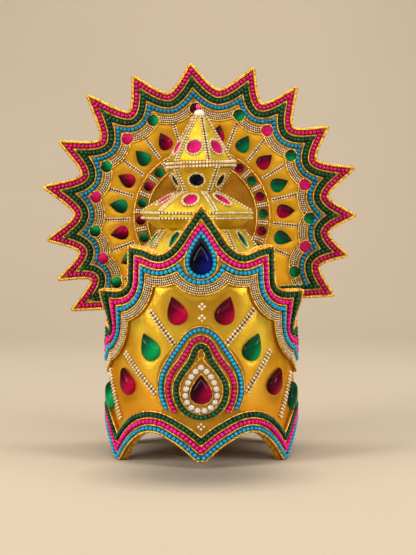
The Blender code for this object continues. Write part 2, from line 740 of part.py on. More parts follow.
def make_spire(group, tools):
    """Cap, tiers and finial, each seated on the one below."""
    level = make_cap(group, tools) + SEAT_GAP
    level = make_rim_tier(level, group, tools) + SEAT_GAP
    level = make_waist_tier(level, group, tools) + SEAT_GAP
    level = make_pearl_ring(level, group) + SEAT_GAP
    level = make_cone(level, group, tools) + SEAT_GAP
    half = FINIAL_PEARL_HEIGHT / 2
    make_ball("finial_pearl", FINIAL_PEARL_RADIUS, half, level + half, group, PEARL)
    half = FINIAL_BEAD_RADIUS
    level += FINIAL_PEARL_HEIGHT + SEAT_GAP
    make_ball("finial_bead", FINIAL_BEAD_RADIUS, half, level + half, group, STONES["pink"])


def dish(u, v, out=0.0):
    """A point on the disc's front face, or out from it: flat at the hub, then rising forward to the tips."""
    radius = math.hypot(u, v)
    share = max(0.0, radius - DISC_HUB_RADIUS) / (DISC_TIP_RADIUS - DISC_HUB_RADIUS)
    forward = DISC_DISH_DEPTH * share
    roll = Matrix.Rotation(math.radians(DISC_ROLL_DEG), 4, "Y")
    point = roll @ Vector((u, -forward - out, v))
    return point + Vector((0.0, DISC_SETBACK, DISC_CENTRE_HEIGHT))


def disc_tip_angles():
    """Angles of all the tips, clockwise from the last one on the left."""
    half = DISC_TIP_ANGLES
    return [-a for a in reversed(half[1:])] + list(half)


def disc_scallops(steps):
    """The sunburst's scalloped edge, clockwise from its lower left tip, as (angle, radius)."""
    tips = disc_tip_angles()
    edge = []
    for first, last in zip(tips, tips[1:]):
        for k in range(steps):
            s = k / steps
            rise = abs(2 * s - 1) ** DISC_SCALLOP_POWER
            radius = DISC_VALLEY_RADIUS + (DISC_TIP_RADIUS - DISC_VALLEY_RADIUS) * rise
            edge.append((math.radians(first + (last - first) * s), radius))
    edge.append((math.radians(tips[-1]), DISC_TIP_RADIUS))
    return edge


DISC_SCALLOPS = np.array([(r * math.sin(a), r * math.cos(a)) for a, r in disc_scallops(FINE_EDGE_STEPS)])


def disc_outline():
    """The sunburst's whole edge: its scallops, then the straight lower side, as (angle, radius)."""
    edge = disc_scallops(DISC_SCALLOP_STEPS)
    drop = disc_chord_drop()
    half = math.sqrt(DISC_TIP_RADIUS**2 - drop**2)
    for k in range(1, DISC_CHORD_STEPS):
        x = half * (1 - 2 * k / DISC_CHORD_STEPS)
        edge.append((math.atan2(x, -drop) % (2 * math.pi), math.hypot(x, drop)))
    return edge


def disc_chord_drop():
    """How far the straight lower side lies below the disc's centre."""
    return -DISC_TIP_RADIUS * math.cos(math.radians(DISC_TIP_ANGLES[-1]))


def inside_disc_edge(angle, radius):
    """Radius of the border's inner line, which keeps its distance from the scallops and the straight side."""
    along = DISC_SCALLOPS @ np.array([math.sin(angle), math.cos(angle)])
    across = DISC_SCALLOPS @ np.array([math.cos(angle), -math.sin(angle)])
    near = (np.abs(across) < DISC_BORDER_WIDTH) & (along > 0)
    line = radius - DISC_CHORD_BORDER / 2
    if near.any():
        line = min(line, float(np.min(along[near] - np.sqrt(DISC_BORDER_WIDTH**2 - across[near] ** 2))))
    if math.cos(angle) < 0:
        line = min(line, (disc_chord_drop() - DISC_CHORD_BORDER) / -math.cos(angle))
    return line


def make_disc(group):
    """The dished sunburst and the border along its edge; their columns of points match."""
    edge = disc_outline()
    edge.append((edge[0][0] + 2 * math.pi, edge[0][1]))
    columns = []
    for angle, radius in edge:
        line = inside_disc_edge(angle, radius)
        columns.append((angle, (0.0, DISC_HUB_RADIUS, line, radius), (line, radius - BORDER_EDGE_INSET)))

    face = [[dish(r * math.sin(a), r * math.cos(a)) for r in radii] for a, radii, _ in columns]
    disc = add_object("disc", grid_mesh("disc", face), group, GOLD_CLOTH)
    thicken(disc, DISC_THICKNESS)
    rim = [[dish(r * math.sin(a), r * math.cos(a), SEAT_GAP) for r in radii] for a, _, radii in columns]
    border = add_object("disc_border", grid_mesh("disc_border", rim), group, BEADWORK)
    thicken(border, DISC_BORDER_THICKNESS, outward=True)


def disc_spot(angle_deg, radius, seat):
    """A spot on the disc, whose up points away from the disc's centre."""
    a = math.radians(angle_deg)
    s, c = math.sin(a), math.cos(a)
    return lambda right, up, out: dish(
        right * c + (radius + up) * s, (radius + up) * c - right * s, seat + out
    )


def make_disc_ring(group, tools):
    """The flat ring about the hub with its round stones."""
    count = RING_STONE_COUNT
    places = []
    for k in range(count + 1):
        a = 2 * math.pi * ((k % count) + 0.5) / count
        radii = (DISC_HUB_RADIUS, RING_OUTER_RADIUS)
        places.append([dish(r * math.sin(a), r * math.cos(a), SEAT_GAP) for r in radii])
    ring = add_object("disc_ring", grid_mesh("disc_ring", places), group, GOLD_CLOTH)
    thicken(ring, RING_THICKNESS, outward=True)
    middle = (DISC_HUB_RADIUS + RING_OUTER_RADIUS) / 2
    circle = oval_outline(RING_STONE_RADIUS, RING_STONE_RADIUS, 6)
    turn, seat = RING_STONE_TURN_DEG, SEAT_GAP + RING_THICKNESS
    spots = [disc_spot(turn + 360.0 * k / count, middle, seat) for k in range(count)]
    rings, sunk = SMALL_STONE_RINGS, RING_THICKNESS / 2
    fuse(ring, [cabochon_points(circle, RING_STONE_RISE, spot, rings, sunk) for spot in spots], tools)


def make_disc_stones(group):
    """Round stones in the border's cusps and drops between the ring and the border."""
    circle = oval_outline(CUSP_STONE_RADIUS, CUSP_STONE_RADIUS, CUSP_STONE_SIDES)
    seat = 2 * SEAT_GAP + DISC_BORDER_THICKNESS
    for k, angle in enumerate(disc_tip_angles()):
        name = f"disc_round_{k + 1:02d}"
        stone = "ruby" if abs(k - len(DISC_TIP_ANGLES) + 1) % 2 == 0 else "emerald"
        spot = disc_spot(angle, CUSP_STONE_PLACE, seat)
        points = cabochon_points(circle, CUSP_STONE_RISE, spot, SMALL_STONE_RINGS)
        add_object(name, grid_mesh(name, points), group, STONES[stone])

    drop = drop_outline(DISC_DROP_WIDTH, DISC_DROP_LENGTH, DISC_DROP_SIDES)
    for k in range(-DISC_DROP_HALF_COUNT, DISC_DROP_HALF_COUNT + 1):
        name = f"disc_drop_{k + DISC_DROP_HALF_COUNT + 1:02d}"
        stone = "emerald" if k % 2 == 0 else "ruby"
        spot = disc_spot(DISC_DROP_TURN_DEG + k * DISC_DROP_PITCH_DEG, DISC_DROP_PLACE, SEAT_GAP)
        points = cabochon_points(drop, DISC_DROP_RISE, spot, SMALL_STONE_RINGS)
        add_object(name, grid_mesh(name, points), group, STONES[stone])


def make_post(group):
    """The plain bent bar behind, from the back of the band to the back of the disc."""
    front_low = BAND_RADIUS + 3 * SEAT_GAP + BORDER_THICKNESS
    front_high = DISC_SETBACK + DISC_THICKNESS + SEAT_GAP
    chord = DISC_CENTRE_HEIGHT - disc_chord_drop()
    top = DISC_CENTRE_HEIGHT + POST_TOP_OVER_CENTRE
    front = [
        (front_low, POST_FOOT_HEIGHT),
        (front_low, top_height(math.pi * BAND_RADIUS)),
        (front_high, chord),
        (front_high, top),
    ]
    back = [(y + POST_THICKNESS, z) for y, z in reversed(front)]
    curve = bpy.data.curves.new("post", "CURVE")
    curve.dimensions = "2D"
    curve.fill_mode = "BOTH"
    curve.extrude = POST_WIDTH / 2
    side = curve.splines.new("POLY")
    side.points.add(len(front) + len(back) - 1)
    for point, (y, z) in zip(side.points, front + back):
        point.co = (y, z, 0.0, 1.0)
    side.use_cyclic_u = True
    guide = bpy.data.objects.new("post_profile", curve)
    group.objects.link(guide)
    bpy.context.view_layer.update()
    mesh = bpy.data.meshes.new_from_object(guide.evaluated_get(bpy.context.evaluated_depsgraph_get()))
    bpy.data.objects.remove(guide, do_unlink=True)
    form = bmesh.new()
    form.from_mesh(mesh)
    bmesh.ops.remove_doubles(form, verts=form.verts, dist=MERGE_DISTANCE)
    stand = Matrix(((0, 0, 1, 0), (1, 0, 0, 0), (0, 1, 0, 0), (0, 0, 0, 1)))
    bmesh.ops.transform(form, matrix=stand, verts=form.verts)
    bmesh.ops.recalc_face_normals(form, faces=form.faces)
    form.to_mesh(mesh)
    form.free()
    add_object("post", mesh, group, STEEL)


def main():
    """Builds the crown."""
    clear_scene()
    group = new_collection("dance_crown")
    tools = new_collection("fused_stones")
    make_band(group)
    make_medallion(group, tools)
    make_band_drops(group)
    make_spire(group, tools)
    make_disc(group)
    make_disc_ring(group, tools)
    make_disc_stones(group)
    make_post(group)


main()
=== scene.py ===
"""Dance crown, dressed: padded gold cloth, rows of beads and pearls between gold cords, and domed stones.

Metres, +Z up, front towards -Y. A place on the band is (arc, height), and a place on the disc is (right, up)
from its centre. Each surface is a Chart, and each trim is laid out flat on a chart and lifted off it.
"""

import logging
import math
from dataclasses import dataclass, field
from enum import Enum
from functools import cache
from typing import Callable, Iterable, Optional, Sequence

import bmesh
import bpy
import numpy as np
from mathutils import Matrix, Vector
from mathutils.geometry import delaunay_2d_cdt
from mathutils.kdtree import KDTree


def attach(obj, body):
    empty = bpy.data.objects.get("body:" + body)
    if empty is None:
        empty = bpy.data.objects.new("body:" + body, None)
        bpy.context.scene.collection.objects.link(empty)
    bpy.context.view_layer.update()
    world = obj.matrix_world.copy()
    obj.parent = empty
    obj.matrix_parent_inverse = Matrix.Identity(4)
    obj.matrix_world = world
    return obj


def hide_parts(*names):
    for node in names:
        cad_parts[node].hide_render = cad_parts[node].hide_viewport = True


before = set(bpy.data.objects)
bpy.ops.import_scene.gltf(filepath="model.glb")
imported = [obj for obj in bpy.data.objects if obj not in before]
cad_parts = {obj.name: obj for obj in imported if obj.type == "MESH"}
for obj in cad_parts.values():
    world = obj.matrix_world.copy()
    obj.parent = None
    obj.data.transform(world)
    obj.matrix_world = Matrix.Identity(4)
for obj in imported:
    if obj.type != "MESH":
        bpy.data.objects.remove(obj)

LOG = logging.getLogger("dance_crown")
ROOT = "root"
Array = np.ndarray
Colour = tuple[float, float, float]
Place = tuple[float, float, float]
Pairs = tuple[tuple[float, float], ...]
Spot = Callable[[Array, Array, Array], Array]
Tree = bpy.types.NodeTree
Node = bpy.types.Node
Socket = bpy.types.NodeSocket
Mesh = bpy.types.Mesh
Material = bpy.types.Material
Piece = bpy.types.Object

# Clearance between a piece and what it sits on
SEAT_GAP = 0.0003
# Points closer than this become one
MERGE_GAP = 0.000004
# How far the faces of the band's two borders lie off the band
BORDER_FACE = 0.0020
# Distances between points: along a padded rim, along a stiff layer's edge, and inside a stiff layer
RIM_PITCH = 0.0018
EDGE_PITCH = 0.0016
FILL_PITCH = 0.0030


class Slot(str, Enum):
    """The record's material slots, named for the pieces here."""

    CLOTH = "gold_cloth"
    BEADS = "beadwork"
    PEARL = "pearl"
    RUBY = "ruby"
    EMERALD = "emerald"
    SAPPHIRE = "sapphire"
    PINK = "pink_bead"


class Kind(Enum):
    """What a row of trim is made of."""

    PIPING = "piping"
    CORD = "cord"
    PEARL = "pearl"
    GREEN = "green"
    MAGENTA = "magenta"
    TURQUOISE = "turquoise"
    SPOKE = "spoke"


# Node trees


def fill_inputs(tree: Tree, node: Node, inputs: dict[object, object]) -> None:
    """Links or sets a node's inputs, each found by its name or number.

    Args:
        tree: The node's tree.
        node: The node.
        inputs: Sockets to link from and constants, by the input's name or number.
    """
    for key, value in inputs.items():
        if isinstance(value, Socket):
            tree.links.new(value, node.inputs[key])
        else:
            node.inputs[key].default_value = value


def add_node(
    tree: Tree, kind: str, inputs: Optional[dict[object, object]] = None, **choices: object
) -> Node:
    """Adds a node to a tree.

    Args:
        tree: The tree.
        kind: The node's type.
        inputs: Sockets to link from and constants, by the input's name or number.
        choices: The node's own choices, such as its operation.

    Returns:
        The node.
    """
    node = tree.nodes.new(kind)
    for name, choice in choices.items():
        setattr(node, name, choice)
    fill_inputs(tree, node, inputs or {})
    return node


def worked_out(tree: Tree, operation: str, *values: object) -> Socket:
    """The result of an operation on numbers and sockets."""
    return add_node(tree, "ShaderNodeMath", dict(enumerate(values)), operation=operation).outputs[0]


def by_identifier(sockets: Iterable[Socket]) -> dict[str, Socket]:
    """Sockets by identifier, where several share a name."""
    return {socket.identifier: socket for socket in sockets}


def node_group(
    name: str,
    kind: str,
    inputs: Sequence[tuple[str, str, object]],
    outputs: Sequence[tuple[str, str]],
) -> Tree:
    """A node group that has its sockets and no nodes yet.

    Args:
        name: Name of the group.
        kind: Its type, such as ShaderNodeTree.
        inputs: Name, type and default of each input, None where it keeps its own default.
        outputs: Name and type of each output.

    Returns:
        The group.
    """
    tree = bpy.data.node_groups.new(name, kind)
    for label, socket_type, value in inputs:
        socket = tree.interface.new_socket(label, in_out="INPUT", socket_type=f"NodeSocket{socket_type}")
        if value is not None:
            socket.default_value = value
    for label, socket_type in outputs:
        tree.interface.new_socket(label, in_out="OUTPUT", socket_type=f"NodeSocket{socket_type}")
    return tree


class Weave:
    """Fine cloth grain: two masks and the normal of its bump, from object coordinates."""

    BUMP_HEIGHT = 0.0004

    @classmethod
    @cache
    def tree(cls) -> Tree:
        """The node group, made on first use.

        Returns:
            The group.
        """
        tree = node_group(
            "cloth_grain",
            "ShaderNodeTree",
            (("Grain Scale", "Float", 1400.0), ("Cloud Scale", "Float", 38.0), ("Depth", "Float", 0.25)),
            (("Cloud", "Float"), ("Grain", "Float"), ("Normal", "Vector")),
        )
        start = add_node(tree, "NodeGroupInput").outputs
        place = add_node(tree, "ShaderNodeTexCoord").outputs["Object"]
        fine = {"Vector": place, "Scale": start["Grain Scale"], "Detail": 3.0, "Roughness": 0.7}
        grain = add_node(tree, "ShaderNodeTexNoise", fine).outputs["Fac"]
        broad = {"Vector": place, "Scale": start["Cloud Scale"], "Detail": 2.0}
        cloud = add_node(tree, "ShaderNodeTexNoise", broad).outputs["Fac"]
        relief = {"Strength": start["Depth"], "Distance": cls.BUMP_HEIGHT, "Height": grain}
        normal = add_node(tree, "ShaderNodeBump", relief).outputs["Normal"]
        add_node(tree, "NodeGroupOutput", {"Cloud": cloud, "Grain": grain, "Normal": normal})
        return tree


def new_material(name: str) -> tuple[Material, Tree, Node]:
    """A node material, its tree and its Principled shader.

    Args:
        name: Name of the material.

    Returns:
        The material, its tree and its shader.
    """
    material = bpy.data.materials.new(name)
    material.use_nodes = True
    tree = material.node_tree
    return material, tree, tree.nodes["Principled BSDF"]


def noise(tree: Tree, **inputs: float) -> Socket:
    """A soft noise over the object's own coordinates."""
    place = add_node(tree, "ShaderNodeTexCoord").outputs["Object"]
    return add_node(tree, "ShaderNodeTexNoise", {"Vector": place, **inputs}).outputs["Fac"]


def colour_ramp(tree: Tree, share: Socket, stops: Sequence[tuple[float, Colour]]) -> Socket:
    """The colour at a share, from (place, colour) stops.

    Args:
        tree: The tree that gets the nodes.
        share: Gives the place on the ramp.
        stops: Place and colour of each stop.

    Returns:
        The colour's socket.
    """
    ramp = add_node(tree, "ShaderNodeValToRGB", {"Fac": share})
    ends = ramp.color_ramp.elements
    for end, (place, colour) in zip(ends, (stops[0], stops[-1])):
        end.position = place
        end.color = (*colour, 1.0)
    for place, colour in stops[1:-1]:
        ends.new(place).color = (*colour, 1.0)
    return ramp.outputs["Color"]


def multiplied(tree: Tree, first: Socket, second: Socket) -> Socket:
    """Two colours multiplied."""
    inputs = {"Fac": 1.0, "Color1": first, "Color2": second}
    return add_node(tree, "ShaderNodeMixRGB", inputs, blend_type="MULTIPLY").outputs["Color"]


# Finishes


class Finish:
    """What a piece is made of: it has a name and makes its own material."""

    name: str

    def material(self) -> Material:
        """The finish's material."""
        raise NotImplementedError


@dataclass(frozen=True)
class PaintedSheen:
    """Painted sheen and shade: the cloth's colour is scaled with distance, across and up, from one place on
    the crown, lighter where the satin's highlight falls and darker where it lies in shade.
    """

    # Right and up, in metres
    middle: tuple[float, float]
    # Columns: distance in metres, share of the cloth's colour; lower shares paint shade, the highest paint
    # the highlight
    stops: tuple[tuple[float, Colour], ...]

    REACH = 0.2

    def shade(self, tree: Tree) -> Socket:
        """Adds the nodes of the painted sheen and shade to a tree.

        Args:
            tree: The tree that gets the nodes.

        Returns:
            The share of the cloth's colour.
        """
        right, up = self.middle
        place = add_node(tree, "ShaderNodeTexCoord").outputs["Object"]
        flat = add_node(tree, "ShaderNodeVectorMath", {0: place, 1: (1.0, 0.0, 1.0)}, operation="MULTIPLY")
        ends = {0: flat.outputs["Vector"], 1: (right, 0.0, up)}
        away = add_node(tree, "ShaderNodeVectorMath", ends, operation="DISTANCE").outputs["Value"]
        share = worked_out(tree, "DIVIDE", away, self.REACH)
        return colour_ramp(tree, share, [(distance / self.REACH, colour) for distance, colour in self.stops])


@dataclass(frozen=True)
class ClothFinish(Finish):
    """Satin metallic cloth with a fine grain, and painted sheen and shade where given."""

    name: str
    dark: Colour
    light: Colour
    roughness: float
    metallic: float
    grain_scale: float = 1400.0
    cloud_scale: float = 38.0
    depth: float = 0.3
    # Painted sheen and shade, if any
    painted_sheen: Optional[PaintedSheen] = None

    GRAIN_SHARE = 0.55
    CLOUD_SHARE = 0.5
    SHEEN = (1.0, 0.72, 0.30, 1.0)

    def material(self) -> Material:
        """Makes the cloth's material.

        Returns:
            The material.
        """
        material, tree, shader = new_material(self.name)
        scales = {"Grain Scale": self.grain_scale, "Cloud Scale": self.cloud_scale, "Depth": self.depth}
        weave = add_node(tree, "ShaderNodeGroup", scales, node_tree=Weave.tree()).outputs
        cloud = worked_out(tree, "MULTIPLY", weave["Cloud"], self.CLOUD_SHARE)
        mixed = worked_out(tree, "MULTIPLY_ADD", weave["Grain"], self.GRAIN_SHARE, cloud)
        colour = colour_ramp(tree, mixed, [(0.33, self.dark), (0.78, self.light)])
        # Painted sheen and shade scale the cloth's colour
        if self.painted_sheen:
            colour = multiplied(tree, colour, self.painted_sheen.shade(tree))
        inputs = {
            "Base Color": colour,
            "Normal": weave["Normal"],
            "Roughness": self.roughness,
            "Metallic": self.metallic,
            "Specular Tint": self.SHEEN,
        }
        fill_inputs(tree, shader, inputs)
        return material


@dataclass(frozen=True)
class BeadFinish(Finish):
    """Glossy bead or pearl whose shade varies from bead to bead through the tone attribute."""

    name: str
    dark: Colour
    light: Colour
    roughness: float
    coat: float
    specular: float = 0.5

    COAT_ROUGHNESS = 0.08

    def material(self) -> Material:
        """Makes the beads' material.

        Returns:
            The material.
        """
        material, tree, shader = new_material(self.name)
        tone = add_node(tree, "ShaderNodeAttribute", attribute_name="tone").outputs["Fac"]
        inputs = {
            "Base Color": colour_ramp(tree, tone, [(0.0, self.dark), (1.0, self.light)]),
            "Roughness": self.roughness,
            "Specular IOR Level": self.specular,
            "Coat Weight": self.coat,
            "Coat Roughness": self.COAT_ROUGHNESS,
        }
        fill_inputs(tree, shader, inputs)
        return material


@dataclass(frozen=True)
class CordFinish(Finish):
    """Bright metallic thread, darker in places."""

    name: str
    dark: Colour
    light: Colour
    roughness: float = 0.32

    METALLIC = 0.75

    def material(self) -> Material:
        """Makes the cord's material.

        Returns:
            The material.
        """
        material, tree, shader = new_material(self.name)
        patches = noise(tree, Scale=420.0, Detail=2.0)
        inputs = {
            "Base Color": colour_ramp(tree, patches, [(0.34, self.dark), (0.56, self.light)]),
            "Roughness": self.roughness,
            "Metallic": self.METALLIC,
        }
        fill_inputs(tree, shader, inputs)
        return material


@dataclass(frozen=True)
class StoneFinish(Finish):
    """Polished cabochon: deep where the light enters and bright where it gathers, across its own UV."""

    name: str
    deep: Colour
    body: Colour
    glow: Colour

    # Columns: share of the glow gained across the stone, lost up it, its start, and how cloudy it is
    LIGHT = (0.75, -0.6, 0.46, 0.22)
    ROUGHNESS = 0.20
    SPECULAR = 0.06
    COAT = 0.04
    COAT_ROUGHNESS = 0.05

    def material(self) -> Material:
        """Makes the stone's material.

        Returns:
            The material.
        """
        material, tree, shader = new_material(self.name)
        across, up, start, clouds = self.LIGHT
        spot = add_node(tree, "ShaderNodeTexCoord").outputs["UV"]
        apart = add_node(tree, "ShaderNodeSeparateXYZ", {0: spot}).outputs
        share = worked_out(tree, "MULTIPLY_ADD", apart["Y"], up, start)
        share = worked_out(tree, "MULTIPLY_ADD", apart["X"], across, share)
        share = worked_out(tree, "MULTIPLY_ADD", noise(tree, Scale=90.0), clouds, share)
        inputs = {
            "Base Color": colour_ramp(tree, share, [(0.25, self.deep), (0.62, self.body), (0.98, self.glow)]),
            "Roughness": self.ROUGHNESS,
            "Specular IOR Level": self.SPECULAR,
            "Coat Weight": self.COAT,
            "Coat Roughness": self.COAT_ROUGHNESS,
        }
        fill_inputs(tree, shader, inputs)
        return material


class Look:
    """The finishes of the crown, each made into one material."""

    # Painted sheen and shade: the satin is darker round the top middle, brightest about 7 cm out where the
    # side lamps' highlights fall, and warmer and darker beyond
    GROUND = ClothFinish(
        "gold_satin", (0.74, 0.39, 0.016), (1.0, 0.80, 0.090), 0.28, 0.92, painted_sheen=PaintedSheen(
            (0.0, 0.168),
            (
                (0.018, (0.66, 0.54, 0.46)),
                (0.050, (0.88, 0.84, 0.75)),
                (0.070, (1.0, 1.0, 1.0)),
                (0.098, (1.0, 0.84, 0.75)),
                (0.130, (0.95, 0.66, 0.60)),
            ),
        ),
    )
    # Painted shade and sheen: the panels are darker near the disc's middle, behind the spire, and lighter
    # towards the tips
    PANEL = ClothFinish(
        "gold_panel_satin", (0.60, 0.27, 0.007), (1.0, 0.60, 0.045), 0.34, 0.72, painted_sheen=PaintedSheen(
            (-0.004, 0.232),
            ((0.062, (0.66, 0.60, 0.55)), (0.085, (0.90, 0.88, 0.85)), (0.108, (1.0, 1.0, 1.0))),
        ),
    )
    # Dark cloth of the hub and the ring round it: painted shade of the recess behind the spire
    SHADED_HUB = ClothFinish("shaded_hub_satin", (0.12, 0.040, 0.002), (0.55, 0.24, 0.012), 0.45, 0.6, 650.0, 60.0, 0.8)
    GLITTER = ClothFinish(
        "gold_glitter", (0.50, 0.29, 0.006), (1.0, 0.80, 0.070), 0.44, 0.62, 800.0, 60.0, 0.9
    )
    BACKING = ClothFinish("bead_backing", (0.22, 0.09, 0.006), (0.58, 0.29, 0.025), 0.5, 0.6)
    LINING = ClothFinish("back_cloth", (0.42, 0.20, 0.025), (0.66, 0.38, 0.065), 0.6, 0.5)
    # Dark strips under the rows of beads and pearls: dark thread, and painted shade between the beads
    SHADE = {
        Kind.GREEN: ClothFinish("under_green", (0.002, 0.006, 0.003), (0.006, 0.02, 0.010), 0.7, 0.0),
        Kind.MAGENTA: ClothFinish("under_magenta", (0.12, 0.0, 0.026), (0.30, 0.0, 0.07), 0.7, 0.0),
        Kind.TURQUOISE: ClothFinish("under_turquoise", (0.001, 0.040, 0.070), (0.002, 0.11, 0.17), 0.7, 0.0),
        Kind.PEARL: ClothFinish("under_pearl", (0.035, 0.014, 0.003), (0.13, 0.055, 0.008), 0.7, 0.0),
        Kind.SPOKE: ClothFinish("under_spoke", (0.06, 0.025, 0.004), (0.22, 0.10, 0.014), 0.7, 0.0),
    }
    BED = ClothFinish("under_sapphire", (0.001, 0.001, 0.010), (0.003, 0.004, 0.040), 0.4, 0.0)
    BEADS = {
        Kind.GREEN: BeadFinish(
            "green_bead", (0.0, 0.034, 0.014), (0.0, 0.105, 0.042), 0.26, 0.08, specular=0.18
        ),
        Kind.MAGENTA: BeadFinish(
            "magenta_bead", (0.66, 0.0, 0.19), (0.92, 0.0005, 0.27), 0.30, 0.10, specular=0.25
        ),
        Kind.TURQUOISE: BeadFinish(
            "turquoise_bead", (0.0, 0.25, 0.46), (0.001, 0.38, 0.64), 0.30, 0.10, specular=0.25
        ),
    }
    TEAL = BeadFinish("teal_bead", (0.0, 0.15, 0.29), (0.001, 0.27, 0.46), 0.30, 0.08, specular=0.2)
    CRIMSON = BeadFinish(
        "crimson_bead", (0.42, 0.0, 0.080), (0.70, 0.0005, 0.160), 0.30, 0.10, specular=0.25
    )
    PEARL = BeadFinish("small_pearl", (0.56, 0.42, 0.24), (0.86, 0.73, 0.50), 0.25, 0.4)
    CREAM = BeadFinish("cream_pearl", (0.52, 0.38, 0.18), (0.80, 0.66, 0.39), 0.25, 0.4)
    WHITE = BeadFinish("white_stone", (0.58, 0.55, 0.50), (0.90, 0.87, 0.82), 0.05, 1.0)
    FINIAL = BeadFinish("large_pearl", (0.80, 0.74, 0.60), (0.90, 0.85, 0.72), 0.22, 0.7)
    PINK = BeadFinish("hot_pink_bead", (0.75, 0.005, 0.20), (0.9, 0.01, 0.28), 0.2, 0.6)
    CORD = CordFinish("gold_cord", (0.40, 0.17, 0.012), (1.0, 0.64, 0.13))
    PIPING = CordFinish("gold_piping", (0.36, 0.15, 0.009), (1.0, 0.58, 0.085), 0.36)
    RUBY = StoneFinish("ruby_stone", (0.016, 0.0, 0.004), (0.095, 0.0001, 0.010), (0.42, 0.0004, 0.042))
    EMERALD = StoneFinish("emerald_stone", (0.0005, 0.014, 0.006), (0.0, 0.075, 0.023), (0.0, 0.30, 0.085))
    SAPPHIRE = StoneFinish(
        "sapphire_stone", (0.001, 0.001, 0.004), (0.001, 0.001, 0.013), (0.003, 0.005, 0.16)
    )
    DARK_RUBY = StoneFinish(
        "dark_ruby_stone", (0.010, 0.0, 0.003), (0.070, 0.0001, 0.010), (0.34, 0.0005, 0.040)
    )
    DARK_EMERALD = StoneFinish(
        "dark_emerald_stone", (0.0005, 0.009, 0.005), (0.0, 0.042, 0.017), (0.001, 0.17, 0.060)
    )
    WINE = StoneFinish("wine_stone", (0.006, 0.0, 0.003), (0.030, 0.0001, 0.006), (0.30, 0.0004, 0.036))
    ROSE = StoneFinish("rose_stone", (0.25, 0.002, 0.045), (0.44, 0.004, 0.090), (0.60, 0.012, 0.16))
    INK = StoneFinish("ink_stone", (0.001, 0.001, 0.003), (0.002, 0.002, 0.008), (0.01, 0.01, 0.04))

    @classmethod
    @cache
    def of(cls, finish: Finish) -> Material:
        """The material of a finish, made on first use."""
        return finish.material()


# Charts: surfaces addressed by two lengths


class Chart:
    """A surface addressed by two lengths, in metres, and a lift off it."""

    NORMAL_STEP = 0.0004

    def place(self, s: Array, t: Array, out: Array) -> Array:
        """Points at (s, t), lifted by out."""
        raise NotImplementedError

    def lifted(self, flat: Array, lift: float) -> Array:
        """Points at rows of (s, t), all lifted alike."""
        return self.place(flat[:, 0], flat[:, 1], np.full(len(flat), lift))

    def normals(self, s: Array, t: Array) -> Array:
        """Unit normals at (s, t), outward.

        Args:
            s: First lengths.
            t: Second lengths.

        Returns:
            One vector for each place.
        """
        step = self.NORMAL_STEP
        flat = np.zeros_like(s)
        across = self.place(s + step, t, flat) - self.place(s - step, t, flat)
        along = self.place(s, t + step, flat) - self.place(s, t - step, flat)
        normal = np.cross(across, along)
        return normal / np.linalg.norm(normal, axis=1, keepdims=True)


class BandChart(Chart):
    """The band's outer face: arc from the front, and height. The side tips flare away from the round."""

    RADIUS = 0.0908
    FRONT_HEIGHT = 0.2475
    TIP_AZIMUTH = 66.0
    TIP_SHARE = 0.670
    VALLEY_SHARE = 0.508
    FLARE = 0.021
    SWING_DEG = 6.8
    REACH = 0.038

    def place(self, s: Array, t: Array, out: Array) -> Array:
        """Points at (arc, height), lifted off the face.

        Args:
            s: Arcs from the front.
            t: Heights.
            out: Lifts off the face.

        Returns:
            The points.
        """
        tip = self.TIP_SHARE * self.FRONT_HEIGHT
        valley = self.VALLEY_SHARE * self.FRONT_HEIGHT
        away = np.abs(np.abs(s) - self.RADIUS * math.radians(self.TIP_AZIMUTH)) / self.REACH
        beside = np.clip(1.0 - away, 0.0, None) ** 2
        above = np.clip((t - valley) / (tip - valley), 0.0, 1.0)
        angle = np.abs(s) / self.RADIUS - math.radians(self.SWING_DEG) * beside * above
        radius = self.RADIUS + self.FLARE * beside * above + out
        x = np.copysign(radius * np.sin(angle), s)
        return np.stack([x, -radius * np.cos(angle), t + 0.0 * s], axis=-1)


class DiscChart(Chart):
    """The disc's front face: right and up from its centre, dished forward outside the hub."""

    CENTRE_HEIGHT = 0.2318
    SETBACK = 0.1020
    ROLL = math.radians(-3.4)
    TIP_RADIUS = 0.1650
    HUB_RADIUS = 0.0575
    DEPTH = 0.0120
    THICKNESS = 0.0045

    def place(self, s: Array, t: Array, out: Array) -> Array:
        """Points at (right, up), lifted towards the front.

        Args:
            s: Lengths to the right.
            t: Lengths up.
            out: Lifts off the face.

        Returns:
            The points.
        """
        radius = np.hypot(s, t)
        share = np.clip(radius - self.HUB_RADIUS, 0.0, None) / (self.TIP_RADIUS - self.HUB_RADIUS)
        x = s * math.cos(self.ROLL) + t * math.sin(self.ROLL)
        z = t * math.cos(self.ROLL) - s * math.sin(self.ROLL)
        return np.stack([x, self.SETBACK - self.DEPTH * share - out, z + self.CENTRE_HEIGHT], axis=-1)


BAND = BandChart()
DISC = DiscChart()


# Plane curves


def smooth_run(points: Sequence[tuple[float, float]], steps: int) -> Array:
    """Points on a smooth curve through a run of points.

    Args:
        points: The run of (x, y) points.
        steps: How many steps each span gets.

    Returns:
        The curve's points, ends included.
    """
    knots = np.array(points, float)
    spans = np.linalg.norm(np.diff(knots, axis=0), axis=1)
    slopes = np.zeros_like(knots)
    slopes[0] = (knots[1] - knots[0]) / spans[0]
    slopes[-1] = (knots[-1] - knots[-2]) / spans[-1]
    for k in range(1, len(knots) - 1):
        slopes[k] = (knots[k + 1] - knots[k - 1]) / (spans[k] + spans[k - 1])
    run = [knots[0]]
    for k, span in enumerate(spans):
        for step in range(1, steps + 1):
            w = step / steps
            w2, w3 = w * w, w * w * w
            run.append(
                (2 * w3 - 3 * w2 + 1) * knots[k]
                + (w3 - 2 * w2 + w) * span * slopes[k]
                + (3 * w2 - 2 * w3) * knots[k + 1]
                + (w3 - w2) * span * slopes[k + 1]
            )
    return np.array(run)


